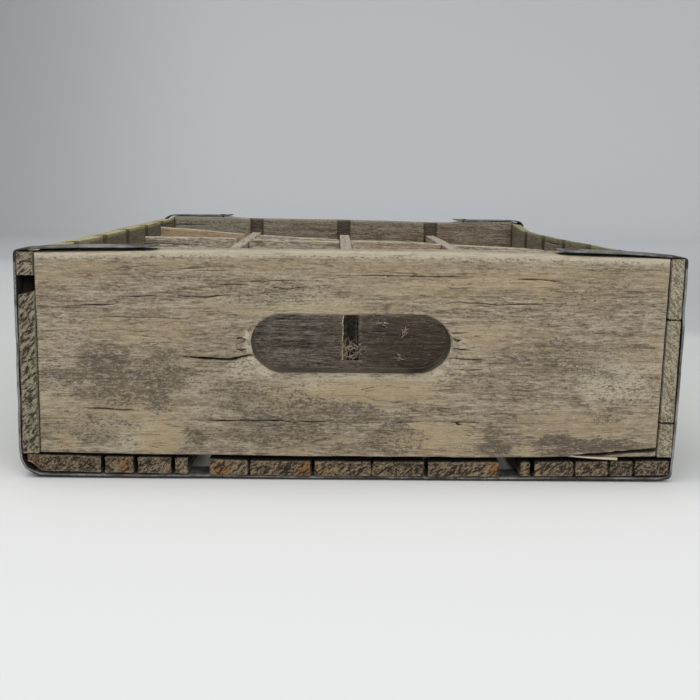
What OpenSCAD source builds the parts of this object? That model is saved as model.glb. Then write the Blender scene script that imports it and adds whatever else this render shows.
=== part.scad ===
// Wooden soda crate for twenty-four bottles, with steel end straps and a loose grid of dividers.
// All sizes are in millimetres. The origin is on the floor under the middle of the crate.
// +X is to the right seen from the front, +Y runs along the crate to the back, and +Z is up.

/* [Crate] */
// Length over the two end boards
crate_l = 470; // [380:1:570]
// Width over the side slats
crate_w = 305; // [250:1:370]
// Thickness of an end board
end_t = 17; // [14:0.5:22]
// Height of an end board
end_h = 98; // [80:1:130]
// Thickness of the side slats and strips
side_t = 8.5; // [6:0.5:12]
// Thickness of the bottom slats
bottom_t = 8.5; // [6:0.5:12]
// How far the outer bottom slats stop short of the outer side faces
bottom_inset = 0.5; // [0:0.1:2]

/* [Handhold] */
// Width of the handhold, end to end
handhold_w = 91; // [75:1:120]
// Height of the handhold
handhold_h = 26.5; // [20:0.5:34]
// Distance from the rim down to the handhold
handhold_drop = 29.5; // [20:0.5:34]

/* [Side slats] */
// Height of the strip at the top of the left side
left_strip_h = 13.5; // [10:0.5:20]
// Gap between the left strip and the left slat
left_gap = 7; // [2:0.5:15]
// How much lower the left slat's top edge is on the outside
left_bevel = 2.5; // [0.5:0.5:5]
// Height of the strip at the bottom of the right side
right_strip_h = 20; // [12:0.5:30]
// Gap between the right strip and the right slat
right_gap = 0.6; // [0.2:0.1:5]

/* [Bottom slats] */
// Width of the first slat from the left. The six widths and their gaps are fitted to the crate's width.
slat_1_w = 51; // [20:0.1:90]
// Width of the second slat
slat_2_w = 23.4; // [15:0.1:90]
// Width of the third slat
slat_3_w = 47; // [20:0.1:90]
// Width of the fourth slat
slat_4_w = 51; // [20:0.1:90]
// Width of the fifth slat
slat_5_w = 33.3; // [15:0.1:90]
// Width of the sixth slat
slat_6_w = 72; // [20:0.1:90]
// Open gap between the left pair and the middle three, and between those and the right slat
drain_gap = 10; // [6:0.5:16]
// Joint between neighbouring slats
slat_joint = 2; // [0.5:0.1:4]

/* [Dividers] */
// Thickness of a divider
divider_t = 8; // [6:0.5:11]
// Distance from the rim down to the cross dividers
cross_drop = 10; // [2:0.5:20]
// Distance from the rim down to the long dividers
long_drop = 12.5; // [2:0.5:20]
// Height of the wood left under a cross divider's notches
notch_floor = 34; // [20:0.5:50]
// Upright room between a notch's floor and the divider that drops over it
notch_lift = 0.5; // [0.2:0.1:2]
// Room on each side of a divider in a notch
notch_slack = 0.4; // [0.2:0.1:1.5]
// Depth of the grooves in the end boards and side slats
groove_d = 3; // [2:0.5:5]
// Room on each side of a divider in its groove
groove_slack = 1.2; // [0.3:0.1:2]
// Room between a divider's end and the bottom of its groove
end_slack = 0.5; // [0.2:0.1:1.5]
// How far the centre divider stops inside the first and last cross dividers
centre_setback = 4; // [1:0.5:5]

/* [Straps] */
// Width of a strap
strap_w = 16; // [10:0.5:20]
// Thickness of a strap
strap_t = 1; // [0.6:0.1:2]
// Distance from an end board's outer face to the strap's edge
strap_inset = 0.5; // [0:0.1:2]
// Length of the front strap's left tab over the rim
tab_front_left = 64; // [30:1:75]
// Length of the front strap's right tab over the rim
tab_front_right = 59; // [30:1:75]
// Length of the back strap's tabs over the rim
tab_back = 58; // [30:1:75]

/* [Nails] */
// Diameter of a nail
nail_d = 2; // [1.4:0.1:3]
// Diameter of a nail's head
nail_head_d = 5; // [4:0.1:6]
// Thickness of a nail's head
nail_head_t = 0.7; // [0.4:0.1:1.2]
// Length of a nail's point
nail_point = 2.5; // [1:0.5:4]
// Length of the nails that hold the slats
slat_nail_l = 30; // [22:1:38]
// Length of the nails that hold the straps
strap_nail_l = 22; // [16:1:30]
// Room round a nail in its hole
nail_slack = 0.05; // [0.02:0.01:0.1]
// Distance from an end board's outer face to the side slats' nails
side_nail_inset = 5; // [3.5:0.5:8]
// Wood left between the bottom slats' nails and the bottoms of an end board's grooves
groove_edge = 1; // [0.5:0.5:3]
// Distance from a tab's tip to its nail
tab_nail_inset = 8; // [5:0.5:15]
// Narrowest bottom slat that takes two nails at each end
two_nail_w = 40; // [25:1:60]

/* [Hidden] */
$fn = 32;
// Margin by which a cut runs past the face that it opens
past = 1;

// Heights of the floor of the cells and of the rim
floor_z = strap_t + bottom_t;
rim_z = floor_z + end_h;
// Inner length and width between the walls
inner_l = crate_l - 2 * end_t;
inner_w = crate_w - 2 * side_t;
// Outer face of the front end board
front_y = -crate_l / 2;

// Heights where the side boards meet their gaps
left_slat_top = rim_z - left_strip_h - left_gap;
right_strip_top = floor_z + right_strip_h;
right_slat_foot = right_strip_top + right_gap;

// Left edges and widths of the bottom slats
drawn_w = [slat_1_w, slat_2_w, slat_3_w, slat_4_w, slat_5_w, slat_6_w];
gaps = [slat_joint, drain_gap, slat_joint, slat_joint, drain_gap];
bottom_w = crate_w - 2 * bottom_inset;
slat_fit = (bottom_w - total(gaps, 5)) / total(drawn_w, 6);
slat_w = [for (w = drawn_w) w * slat_fit];
slat_x = [for (i = [0:5]) -bottom_w / 2 + total(slat_w, i) + total(gaps, i)];
// Slats that the straps are nailed to from below
strap_nailed_slats = [0, 3, 5];

// Middles of the five cross dividers and of the three long ones
cross_pitch = (inner_l + divider_t) / 6;
cross_y = [for (k = [-2:2]) k * cross_pitch];
long_pitch = (inner_w + divider_t) / 4;
long_x = [for (k = [-1:1]) k * long_pitch];
groove_w = divider_t + 2 * groove_slack;
notch_w = divider_t + 2 * notch_slack;
cross_half = inner_w / 2 + groove_d - end_slack;
long_half = inner_l / 2 + groove_d - end_slack;
centre_half = 2 * cross_pitch + divider_t / 2 - centre_setback;

// Heights of the nails in the sides
left_nail_z = concat(spread(floor_z, left_slat_top, [1, 3, 5]), spread(left_slat_top + left_gap, rim_z, [3]));
right_nail_z = concat(spread(right_slat_foot, rim_z, [1, 3, 5]), spread(floor_z, right_strip_top, [3]));
left_strap_nail_z = spread(floor_z, left_slat_top, [2, 4]);
right_strap_nail_z = spread(right_slat_foot, rim_z, [2, 4]);
strap_nail_y = front_y + strap_inset + strap_w / 2;
bottom_nail_y = front_y + end_t - groove_d - groove_edge - nail_d / 2;

end_wood = "#8e8672";
side_wood = "#85795f";
bottom_wood = "#6b604e";
divider_wood = "#7f7361";
strap_steel = "#6d7173";
nail_steel = "#55504b";

// Sum of the first n values of a list
function total(list, n) = n == 0 ? 0 : list[n - 1] + total(list, n - 1);

// Places between two heights, given in sixths of the way up
function spread(low, high, sixths) = [for (k = sixths) low + (high - low) * k / 6];

// Places of the nails across one bottom slat
function slat_nail_x(i) = slat_w[i] > two_nail_w
    ? [slat_x[i] + slat_w[i] / 4, slat_x[i] + slat_w[i] * 3 / 4]
    : [slat_x[i] + slat_w[i] / 2];

// Place across a bottom slat of the strap's nail, clear of the slat's own nails
function foot_nail_x(i) = slat_x[i] + slat_w[i] / (slat_w[i] > two_nail_w ? 2 : 4);

// A box from its lowest to its highest corner
module span_box(low, high) {
    translate(low) cube(high - low);
}

// The same shape at the front end and, mirrored, at the back
module both_ends() {
    children();
    mirror([0, 1, 0]) children();
}

// A nail driven along +Z, with the top of its flat head at the origin
module nail(length) {
    cylinder(h = nail_head_t, d = nail_head_d);
    cylinder(h = length - nail_point, d = nail_d);
    translate([0, 0, length - nail_point]) cylinder(h = nail_point, d1 = nail_d, d2 = nail_d / 4);
}

// The room that such a nail takes up
module nail_room(length) {
    cylinder(h = nail_head_t, d = nail_head_d + 2 * nail_slack);
    cylinder(h = length + nail_slack, d = nail_d + 2 * nail_slack);
}

// A nail driven along +Z whose sunk head fills a strap's thickness
module sunk_nail(length) {
    cylinder(h = strap_t, d1 = nail_head_d, d2 = nail_d);
    cylinder(h = length - nail_point, d = nail_d);
    translate([0, 0, length - nail_point]) cylinder(h = nail_point, d1 = nail_d, d2 = nail_d / 4);
}

// The room that such a sunk nail takes up
module sunk_nail_room(length) {
    cylinder(h = strap_t, d1 = nail_head_d + 2 * nail_slack, d2 = nail_d + 2 * nail_slack);
    cylinder(h = length + nail_slack, d = nail_d + 2 * nail_slack);
}

// Places a nail on one side of the crate, pointing inwards; side is -1 for left and 1 for right
module at_side(side, reach, y, z) {
    translate([side * reach, y, z]) rotate([0, -90 * side, 0]) children();
}

// Places at the front end for the nails through one side's slats
module side_nail_places(side) {
    for (z = side < 0 ? left_nail_z : right_nail_z)
        at_side(side, crate_w / 2, front_y + side_nail_inset, z) children();
}

// Places at the front end for the nails up through one bottom slat
module bottom_nail_places(i) {
    for (x = slat_nail_x(i))
        translate([x, bottom_nail_y, strap_t]) children();
}

// Places at the front end for the nails through one leg of the strap
module leg_nail_places(side) {
    for (z = side < 0 ? left_strap_nail_z : right_strap_nail_z)
        at_side(side, crate_w / 2 + strap_t + nail_head_t, strap_nail_y, z) children();
}

// Place at the front end for the nail down through one tab of the strap
module tab_nail_place(side, tab) {
    x = side * (crate_w / 2 + strap_t - tab + tab_nail_inset);
    translate([x, strap_nail_y, rim_z + strap_t + nail_head_t]) rotate([180, 0, 0]) children();
}

// Places at the front end for the nails up through the strap's foot
module foot_nail_places() {
    for (i = strap_nailed_slats)
        translate([foot_nail_x(i), strap_nail_y, 0]) children();
}

// Room at the front end for every nail of the strap
module strap_nail_rooms(tab_left, tab_right) {
    for (side = [-1, 1]) leg_nail_places(side) nail_room(strap_nail_l);
    tab_nail_place(-1, tab_left) nail_room(strap_nail_l);
    tab_nail_place(1, tab_right) nail_room(strap_nail_l);
    foot_nail_places() sunk_nail_room(strap_nail_l);
}

// The nails of one strap, at the front end
module strap_nails(tab_left, tab_right) {
    for (side = [-1, 1]) leg_nail_places(side) nail(strap_nail_l);
    tab_nail_place(-1, tab_left) nail(strap_nail_l);
    tab_nail_place(1, tab_right) nail(strap_nail_l);
    foot_nail_places() sunk_nail(strap_nail_l);
}

// The stadium-shaped hole through an end board, at the front
module handhold() {
    r = handhold_h / 2;
    z = rim_z - handhold_drop - r;
    arc_x = handhold_w / 2 - r;
    translate([0, front_y - past, z]) rotate([-90, 0, 0]) {
        for (side = [-1, 1]) translate([side * arc_x, 0, 0]) cylinder(h = end_t + 2 * past, r = r, $fn = 64);
        translate([-arc_x, -r, 0]) cube([2 * arc_x, handhold_h, end_t + 2 * past]);
    }
}

// An end board at the front, with its handhold, its three grooves and its nail holes
module end_board(tab_left, tab_right) {
    inner_y = front_y + end_t;
    difference() {
        span_box([-inner_w / 2, front_y, floor_z], [inner_w / 2, inner_y, rim_z]);
        handhold();
        for (x = long_x)
            span_box([x - groove_w / 2, inner_y - groove_d, floor_z - past],
                     [x + groove_w / 2, inner_y + past, rim_z + past]);
        for (side = [-1, 1]) side_nail_places(side) nail_room(slat_nail_l);
        for (i = [0:5]) bottom_nail_places(i) nail_room(slat_nail_l);
        strap_nail_rooms(tab_left, tab_right);
    }
}

// What is cut from every side board: its five grooves, and its nail holes at both ends
module side_cuts(side) {
    face = inner_w / 2;
    for (y = cross_y)
        span_box([min(side * (face - past), side * (face + groove_d)), y - groove_w / 2, floor_z - past],
                 [max(side * (face - past), side * (face + groove_d)), y + groove_w / 2, rim_z + past]);
    both_ends() {
        side_nail_places(side) nail_room(slat_nail_l);
        leg_nail_places(side) nail_room(strap_nail_l);
    }
}

// A side board of the given height; bevel lowers the outer top edge
module side_board(side, low, high, bevel = 0) {
    inner = side * inner_w / 2;
    outer = side * crate_w / 2;
    difference() {
        translate([0, crate_l / 2, 0]) rotate([90, 0, 0]) linear_extrude(crate_l)
            polygon([[inner, low], [outer, low], [outer, high - bevel], [inner, high]]);
        side_cuts(side);
    }
}

// One bottom slat, nailed to both end boards and to both straps
module bottom_slat(i) {
    color(bottom_wood) difference() {
        span_box([slat_x[i], -crate_l / 2, strap_t], [slat_x[i] + slat_w[i], crate_l / 2, floor_z]);
        both_ends() {
            bottom_nail_places(i) nail_room(slat_nail_l);
            foot_nail_places() sunk_nail_room(strap_nail_l);
        }
    }
}

// One cross divider, notched from above for the three long ones
module cross_divider(k) {
    y = cross_y[k];
    notch_z = floor_z + notch_floor;
    color(divider_wood) difference() {
        span_box([-cross_half, y - divider_t / 2, floor_z], [cross_half, y + divider_t / 2, rim_z - cross_drop]);
        for (x = long_x)
            span_box([x - notch_w / 2, y - divider_t, notch_z], [x + notch_w / 2, y + divider_t, rim_z]);
    }
}

// One long divider, notched from below so that it drops over the five cross dividers
module long_divider(k, half) {
    x = long_x[k];
    notch_z = floor_z + notch_floor + notch_lift;
    difference() {
        span_box([x - divider_t / 2, -half, floor_z], [x + divider_t / 2, half, rim_z - long_drop]);
        for (y = cross_y)
            span_box([x - divider_t, y - notch_w / 2, floor_z - past], [x + divider_t, y + notch_w / 2, notch_z]);
    }
}

// Half of a strap at the front: half its foot, a leg and a tab, bent tight round the wood
module strap_half(side, tab) {
    outer = crate_w / 2 + strap_t;
    mirror([side < 0 ? 1 : 0, 0, 0]) translate([0, front_y + strap_inset + strap_w, 0])
        rotate([90, 0, 0]) linear_extrude(strap_w) {
            square([crate_w / 2, strap_t]);
            translate([crate_w / 2, strap_t]) circle(r = strap_t);
            translate([crate_w / 2, strap_t]) square([strap_t, rim_z - strap_t]);
            translate([crate_w / 2, rim_z]) intersection() {
                circle(r = strap_t);
                square([strap_t, strap_t]);
            }
            translate([outer - tab, rim_z]) square([tab - strap_t, strap_t]);
        }
}

// A strap at the front, with its nail holes
module strap(tab_left, tab_right) {
    difference() {
        union() {
            strap_half(-1, tab_left);
            strap_half(1, tab_right);
        }
        // The bends stay outside the wood
        span_box([-crate_w / 2, front_y, strap_t],
                 [crate_w / 2, front_y + strap_inset + strap_w + past, rim_z]);
        strap_nail_rooms(tab_left, tab_right);
    }
}

module front_end_board() { color(end_wood) end_board(tab_front_left, tab_front_right); }
module back_end_board() { color(end_wood) mirror([0, 1, 0]) end_board(tab_back, tab_back); }
module left_side_slat() { color(side_wood) side_board(-1, floor_z, left_slat_top, left_bevel); }
module left_top_strip() { color(side_wood) side_board(-1, left_slat_top + left_gap, rim_z); }
module right_side_slat() { color(side_wood) side_board(1, right_slat_foot, rim_z); }
module right_bottom_strip() { color(side_wood) side_board(1, floor_z, right_strip_top); }
module long_divider_left() { color(divider_wood) long_divider(0, long_half); }
module long_divider_centre() { color(divider_wood) long_divider(1, centre_half); }
module long_divider_right() { color(divider_wood) long_divider(2, long_half); }
module front_strap() { color(strap_steel) strap(tab_front_left, tab_front_right); }
module back_strap() { color(strap_steel) mirror([0, 1, 0]) strap(tab_back, tab_back); }
module front_strap_nails() { color(nail_steel) strap_nails(tab_front_left, tab_front_right); }
module back_strap_nails() { color(nail_steel) mirror([0, 1, 0]) strap_nails(tab_back, tab_back); }

module side_slat_nails() {
    color(nail_steel) both_ends() for (side = [-1, 1]) side_nail_places(side) nail(slat_nail_l);
}

module bottom_slat_nails() {
    color(nail_steel) both_ends() for (i = [0:5]) bottom_nail_places(i) nail(slat_nail_l);
}

front_end_board();
back_end_board();
left_side_slat();
left_top_strip();
right_side_slat();
right_bottom_strip();
for (i = [1:6])
    bottom_slat(i - 1);
for (i = [1:5])
    cross_divider(i - 1);
long_divider_left();
long_divider_centre();
long_divider_right();
front_strap();
back_strap();
side_slat_nails();
bottom_slat_nails();
front_strap_nails();
back_strap_nails();
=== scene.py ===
"""A weathered wooden soda crate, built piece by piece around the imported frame.

Sizes are in millimetres until a mesh is written. X is to the right, Y to the back and Z up.
A board is worked out in its own directions: a along the grain, b across it and c into the wood,
starting from the face that is seen most.
"""

import math

import bpy
import numpy as np
from mathutils import Matrix, Vector


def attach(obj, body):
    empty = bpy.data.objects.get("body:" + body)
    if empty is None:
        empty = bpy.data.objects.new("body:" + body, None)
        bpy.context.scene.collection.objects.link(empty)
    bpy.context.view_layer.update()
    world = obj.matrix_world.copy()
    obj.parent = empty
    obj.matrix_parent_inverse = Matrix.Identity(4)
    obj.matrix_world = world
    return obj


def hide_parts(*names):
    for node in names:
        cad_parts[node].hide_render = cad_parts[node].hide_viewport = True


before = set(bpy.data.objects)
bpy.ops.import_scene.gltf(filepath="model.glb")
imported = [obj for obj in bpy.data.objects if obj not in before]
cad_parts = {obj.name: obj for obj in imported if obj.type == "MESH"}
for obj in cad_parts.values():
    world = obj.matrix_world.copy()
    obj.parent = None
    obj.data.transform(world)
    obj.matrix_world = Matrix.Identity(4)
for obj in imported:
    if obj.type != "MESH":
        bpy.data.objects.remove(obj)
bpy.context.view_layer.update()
MM = 0.001

# The camera looks at the front end from a little above the rim, straight along the crate.
# It is the photograph's own view, 0.75 m from the middle of the crate and tipped down by 8.6 degrees.

IMAGE_PX = 700
FOCAL_PX = 1124
SENSOR_MM = 36
CAMERA_PLACE = (-8.4, -746.8, 139.3)
TURN, TIP, ROLL = -0.89, 8.6, 0.67

camera_data = bpy.data.cameras.new("camera")
camera_data.sensor_width = SENSOR_MM
camera_data.lens = SENSOR_MM * FOCAL_PX / IMAGE_PX
camera = bpy.data.objects.new("camera", camera_data)
bpy.context.scene.collection.objects.link(camera)
camera.matrix_world = (
    Matrix.Translation(Vector(CAMERA_PLACE) * MM)
    @ Matrix.Rotation(math.radians(TURN), 4, "Z")
    @ Matrix.Rotation(math.radians(90 - TIP), 4, "X")
    @ Matrix.Rotation(math.radians(ROLL), 4, "Z")
)
bpy.context.scene.camera = camera

# The floor is a white paper sheet, and a grey wall stands behind it, joined to the floor by a wide bend.
# Large soft lamps overhead and in front light the crate evenly; the paper keeps its faint shadow.

WALL_Y, WALL_HEIGHT = 2.6, 3.5
BEND = 0.6


def wire(tree, kind, inputs=None, **settings):
    """Adds a node with these settings; an input is linked when it is a socket and set when it is a value."""
    node = tree.nodes.new(kind)
    for key, value in settings.items():
        setattr(node, key, value)
    for key, value in (inputs or {}).items():
        if isinstance(value, bpy.types.NodeSocket):
            tree.links.new(value, node.inputs[key])
        else:
            node.inputs[key].default_value = value
    return node


def math_of(operation, first, *others, clamp=False):
    """One Math node on up to three numbers or sockets, the first of which is a socket."""
    inputs = dict(enumerate((first, *others)))
    return wire(first.id_data, "ShaderNodeMath", inputs, operation=operation, use_clamp=clamp).outputs[0]


def times(value, factor, plus=0.0, clamp=False):
    """value * factor + plus, as one Math node."""
    return math_of("MULTIPLY_ADD", value, factor, plus, clamp=clamp)


def between(value, low, high):
    """0 below low, 1 above high and smooth between; turned round when low is the greater."""
    inputs = {"Value": value, "From Min": min(low, high), "From Max": max(low, high),
              "To Min": float(low > high), "To Max": float(low <= high)}
    return wire(value.id_data, "ShaderNodeMapRange", inputs, interpolation_type="SMOOTHSTEP").outputs[0]


def tinted(factor, first, second):
    """Mixes two colours by a factor."""
    inputs = {0: factor, 6: first, 7: second}
    return wire(factor.id_data, "ShaderNodeMix", inputs, data_type="RGBA").outputs[2]


def plain_material(name):
    """A new material with only its Principled shader, its tree and that shader."""
    material = bpy.data.materials.new(name)
    material.use_nodes = True
    return material, material.node_tree, material.node_tree.nodes["Principled BSDF"]


def grid_quads(ids):
    """The corner numbers of each cell in a grid of points: here, one along, across from there, one back."""
    return np.stack([ids[:-1, :-1], ids[:-1, 1:], ids[1:, 1:], ids[1:, :-1]], -1)


bend_turn = np.linspace(0.1, 1.57, 12)
stage_x = np.linspace(-4, 4, 9)
stage_y = np.concatenate([np.linspace(-3.0, WALL_Y - BEND, 30), WALL_Y - BEND + BEND * np.sin(bend_turn),
                          np.full(10, WALL_Y)])
stage_z = np.concatenate([np.zeros(30), BEND - BEND * np.cos(bend_turn), np.linspace(0.75, WALL_HEIGHT, 10)])
stage_points = np.stack(np.broadcast_arrays(stage_x, stage_y[:, None], stage_z[:, None]), -1)
stage_ids = np.arange(stage_points[..., 0].size).reshape(stage_points.shape[:2])
sweep_mesh = bpy.data.meshes.new("paper_sweep")
sweep_mesh.from_pydata(
    stage_points.reshape(-1, 3).tolist(), [], grid_quads(stage_ids).reshape(-1, 4).tolist())
sweep_mesh.shade_smooth()
sweep = bpy.data.objects.new("paper_sweep", sweep_mesh)
bpy.context.scene.collection.objects.link(sweep)

# The sheet is white and is painted whiter in front of the crate as painted light, and ends behind it on a
# slanting line. Beyond it the floor is greyer, and floor and wall are painted darker to the left as painted
# shade.
material, tree, shader = plain_material("paper_and_wall")
place = wire(tree, "ShaderNodeTexCoord").outputs["Object"]
axes = wire(tree, "ShaderNodeSeparateXYZ", {0: place}).outputs
sheet = tinted(between(axes["Y"], -0.28, -0.16), (0.76, 0.765, 0.765, 1), (0.63, 0.64, 0.63, 1))
sheet = tinted(between(axes["Y"], 0.3, 0.9), sheet, (0.70, 0.71, 0.70, 1))
# Painted shade: floor and wall darken towards the left.
to_right = between(axes["X"], -1.1, -0.25)
bare_floor = tinted(to_right, (0.34, 0.34, 0.34, 1), (0.53, 0.54, 0.55, 1))
wall = tinted(to_right, (0.53, 0.53, 0.53, 1), (0.77, 0.78, 0.79, 1))
wall = tinted(between(axes["Y"], 0.3, 1.8), bare_floor, wall)
past_sheet = between(math_of("SUBTRACT", axes["Y"], times(axes["X"], -0.95, 0.61)), -0.05, 0.05)
tree.links.new(tinted(past_sheet, sheet, wall), shader.inputs["Base Color"])
shader.inputs["Roughness"].default_value = 0.9
shader.inputs["Specular IOR Level"].default_value = 0.2
sweep_mesh.materials.append(material)

world = bpy.data.worlds.new("studio")
world.use_nodes = True
world.node_tree.nodes["Background"].inputs["Color"].default_value = (0.94, 0.97, 1, 1)
world.node_tree.nodes["Background"].inputs["Strength"].default_value = 0.5
bpy.context.scene.world = world
bpy.context.scene.view_settings.view_transform = "Standard"

for name, spot, size, power, colour in (
    ("top_softbox", (-0.35, -0.35, 1.5), 1.5, 13, (1, 0.99, 0.97)),
    ("front_softbox", (0.5, -1.9, 0.95), 1.2, 17, (1, 0.985, 0.96)),
):
    lamp_data = bpy.data.lights.new(name, "AREA")
    lamp_data.shape = "SQUARE"
    lamp_data.size = size
    lamp_data.energy = power
    lamp_data.color = colour
    lamp = bpy.data.objects.new(name, lamp_data)
    lamp.location = spot
    lamp.rotation_euler = (Vector((0, 0, 0.05)) - Vector(spot)).to_track_quat("-Z", "Y").to_euler()
    bpy.context.scene.collection.objects.link(lamp)

# Front end board: one flat-sawn board, 17 mm thick, with a stadium-shaped handhold.
# It is worn round at its edges, crowned at top and bottom, cracked along the grain and stained with mildew.
# The side slats are nailed into its ends, and three grooves on its inner face take the long dividers.

FLOOR_Z, RIM_Z = 9.5, 107.5
HALF_LENGTH = 235.0
HALF_INNER_WIDTH = 144.0
END_THICK = 17.0
PITCH = 74.0
LONG_ROWS, CROSS_ROWS = (-1, 0, 1), (-2, -1, 0, 1, 2)
GROOVE_WIDTH, GROOVE_DEPTH = 10.4, 3.0
HANDHOLD_HALF, HANDHOLD_RADIUS, HANDHOLD_Z = 45.5, 13.25, 64.75
HANDHOLD = (0, HANDHOLD_Z, HANDHOLD_HALF - HANDHOLD_RADIUS, 0, HANDHOLD_RADIUS)
MIXERS = (374761393, 668265263, 1103515245, 1274126177)
LAST_WORD = 0xFFFFFFFF
EDGE_BAND, EDGE_STEP = 1.5, 0.38
NO_CRACK = 60.0
GRAIN_APART = 613.0
NEIGHBOURS = ((1, 0), (-1, 0), (1, 1), (-1, 1))
STAINS = ("mildew_and_shade", "bare_and_shade", "tint")


def lattice(i, j, k, seed):
    """A number from 0 to 1 for each whole-numbered point, mixed from its coordinates and the seed."""
    n = (i * MIXERS[0] + j * MIXERS[1] + k * MIXERS[2] + seed * MIXERS[3]) & LAST_WORD
    n = ((n ^ (n >> 13)) * MIXERS[3]) & LAST_WORD
    return (n ^ (n >> 16)) / LAST_WORD


def noise(x, y, z, seed):
    """Lattice numbers blended smoothly between the eight whole-numbered points round each, from -1 to 1."""
    x, y, z = np.broadcast_arrays(*(np.asarray(v, float) for v in (x, y, z)))
    i, j, k = (np.floor(v).astype(np.int64) for v in (x, y, z))
    u, v, w = (t * t * (3 - 2 * t) for t in (x - i, y - j, z - k))
    total = 0
    for di, dj, dk in np.ndindex(2, 2, 2):
        share = (u if di else 1 - u) * (v if dj else 1 - v) * (w if dk else 1 - w)
        total = total + share * lattice(i + di, j + dj, k + dk, seed)
    return 2 * total - 1


def layered(x, y, z, seed, layers=3):
    """Noise added to itself at doubled frequency and halved strength, from -1 to 1."""
    total = sum(noise(x * 2**n, y * 2**n, z * 2**n, seed + n) / 2**n for n in range(layers))
    return total / (2 - 0.5 ** (layers - 1))


def ripple(x, y, z, seed, layers=3):
    """Layered noise from 0 to 1."""
    return 0.5 + 0.5 * layered(x, y, z, seed, layers)


def ease(t):
    """0 below 0, 1 above 1 and smooth between: three times the square less twice the cube."""
    t = np.clip(t, 0, 1)
    return t * t * (3 - 2 * t)


def bell(t):
    """1 at 0 and falling away on both sides: e to the minus square of t."""
    return np.exp(-(t**2))


def through(a, places):
    """Straight lines through the given places, each an a and its value."""
    return np.interp(a, *np.transpose(places))


def lines(spans, marks=(), creases=()):
    """Grid lines: even ones over each (low, high, step), one at each mark and a close pair at each crease.

    Even lines within 0.25 mm of a mark, a crease or an end are left out.
    """
    even = np.concatenate([
        np.linspace(low, high, max(2, round((high - low) / step) + 1)) for low, high, step in spans])
    pairs = [crease + off for crease in creases for off in (-0.05, 0.05)]
    fixed = np.concatenate([[even.min(), even.max()], marks, pairs])
    even = even[np.abs(even[:, None] - fixed).min(1) > 0.25]
    return np.unique(np.round(np.concatenate([even, fixed]), 4))


def with_edges(low, high, step):
    """Spans from low to high with finer steps in a band at each end, for rounded edges."""
    return [(low, low + EDGE_BAND, EDGE_STEP), (low + EDGE_BAND, high - EDGE_BAND, step),
            (high - EDGE_BAND, high, EDGE_STEP)]


def to_row(a, rows):
    """The distance from the middle of the nearest row of dividers; rows lie PITCH apart."""
    return np.minimum.reduce([np.abs(a - row * PITCH) for row in rows])


def beside_rows(rows, half):
    """The places at this distance to both sides of each row."""
    return [row * PITCH + side * half for row in rows for side in (-1, 1)]


def grooves(rows):
    """The depth of upright grooves at these rows: GROOVE_DEPTH within half the groove's width, else 0."""
    return lambda a: GROOVE_DEPTH * (to_row(a, rows) < GROOVE_WIDTH / 2)


def opening_gap(a, b, opening):
    """Distance to a rounded rectangle's outline, positive outside it.

    An opening is its middle, the half sizes of its core, and the radius that the core is grown by.
    """
    mid_a, mid_b, half_a, half_b, radius = opening
    da, db = np.abs(a - mid_a) - half_a, np.abs(b - mid_b) - half_b
    return np.hypot(np.maximum(da, 0), np.maximum(db, 0)) + np.minimum(np.maximum(da, db), 0) - radius


def outline_gap(a, b, board_a, board_b, openings=()):
    """Distance to the nearest of a board's four edges and its openings."""
    edges = [a - board_a[0], board_a[-1] - a, b - board_b[0], board_b[-1] - b]
    return np.minimum.reduce(edges + [opening_gap(a, b, opening) for opening in openings])


def crack_line(a, points, seed):
    """Height of a crack at each a, and how far it is open there: 0 past its ends and 1 along its middle.

    Straight lines through the points, roughened by noise; the opening is the root of the way in from an end.
    """
    at, height = np.array(points, float).T
    line = np.interp(a, at, height) + 0.35 * layered(a / 6, height[0], 0, seed)
    left = np.minimum(a - at[0], at[-1] - a) / max(0.3 * (at[-1] - at[0]), 1)
    return line, np.sqrt(np.clip(left, 0, 1)) * (0.75 + 0.35 * noise(a / 2.5, height[0], 3, seed))


def cracked(a, b, cracks, seed):
    """The distance from the nearest crack in its own half-widths, and how deep the cracks cut."""
    nearest, cut = np.full(a.shape, NO_CRACK), np.zeros(a.shape)
    for n, (points, half, depth) in enumerate(cracks):
        line, open_ = crack_line(a, points, seed + n)
        width = np.maximum(half * open_, 0.01)
        nearest = np.minimum(nearest, np.where(open_ > 0.02, np.abs(b - line) / width, NO_CRACK))
        cut = np.maximum(cut, depth * open_ * np.clip(1 - np.abs(b - line) / (width + 0.25), 0, 1))
    return nearest, cut


def drawn_to_cracks(a, b, step, cracks, seed):
    """Moves grid points that lie within half a step of a crack onto its line."""
    for n, (points, _, _) in enumerate(cracks):
        line, open_ = crack_line(a, points, seed + n)
        b = np.where((np.abs(b - line) < 0.5 * step) & (open_ > 0.1), line, b)
    return b


def some_cracks(seed, a_range, b_range, count, longest=60):
    """Short cracks along the grain at random places, each with its points, half-width and depth."""
    dice = np.random.default_rng(seed)
    found = []
    for _ in range(count):
        length = longest * (0.25 + 0.75 * dice.random() ** 2)
        a, b = dice.uniform(a_range[0], a_range[1]), dice.uniform(b_range[0] + 3, b_range[1] - 3)
        lean = dice.normal(0, 0.7, 3)
        points = [(a - length / 2, b + lean[0]), (a, b + lean[1]), (a + length / 2, b + lean[2])]
        found.append((points, 0.15 * (0.6 + 0.8 * dice.random()), 0.7 * (0.5 + dice.random())))
    return found


def end_cracks(seed, a_end, inward, places, half, depth):
    """Cracks that open at a board's end, at these places across it, and run inward along the grain."""
    dice = np.random.default_rng(seed)
    found = []
    for b in places:
        length = dice.uniform(15, 70)
        points = [(a_end - inward * 30, b), (a_end, b), (a_end + inward * length, b + dice.normal(0, 1.2))]
        found.append((points if inward > 0 else points[::-1], half * dice.uniform(0.7, 1.3), depth))
    return found


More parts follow.
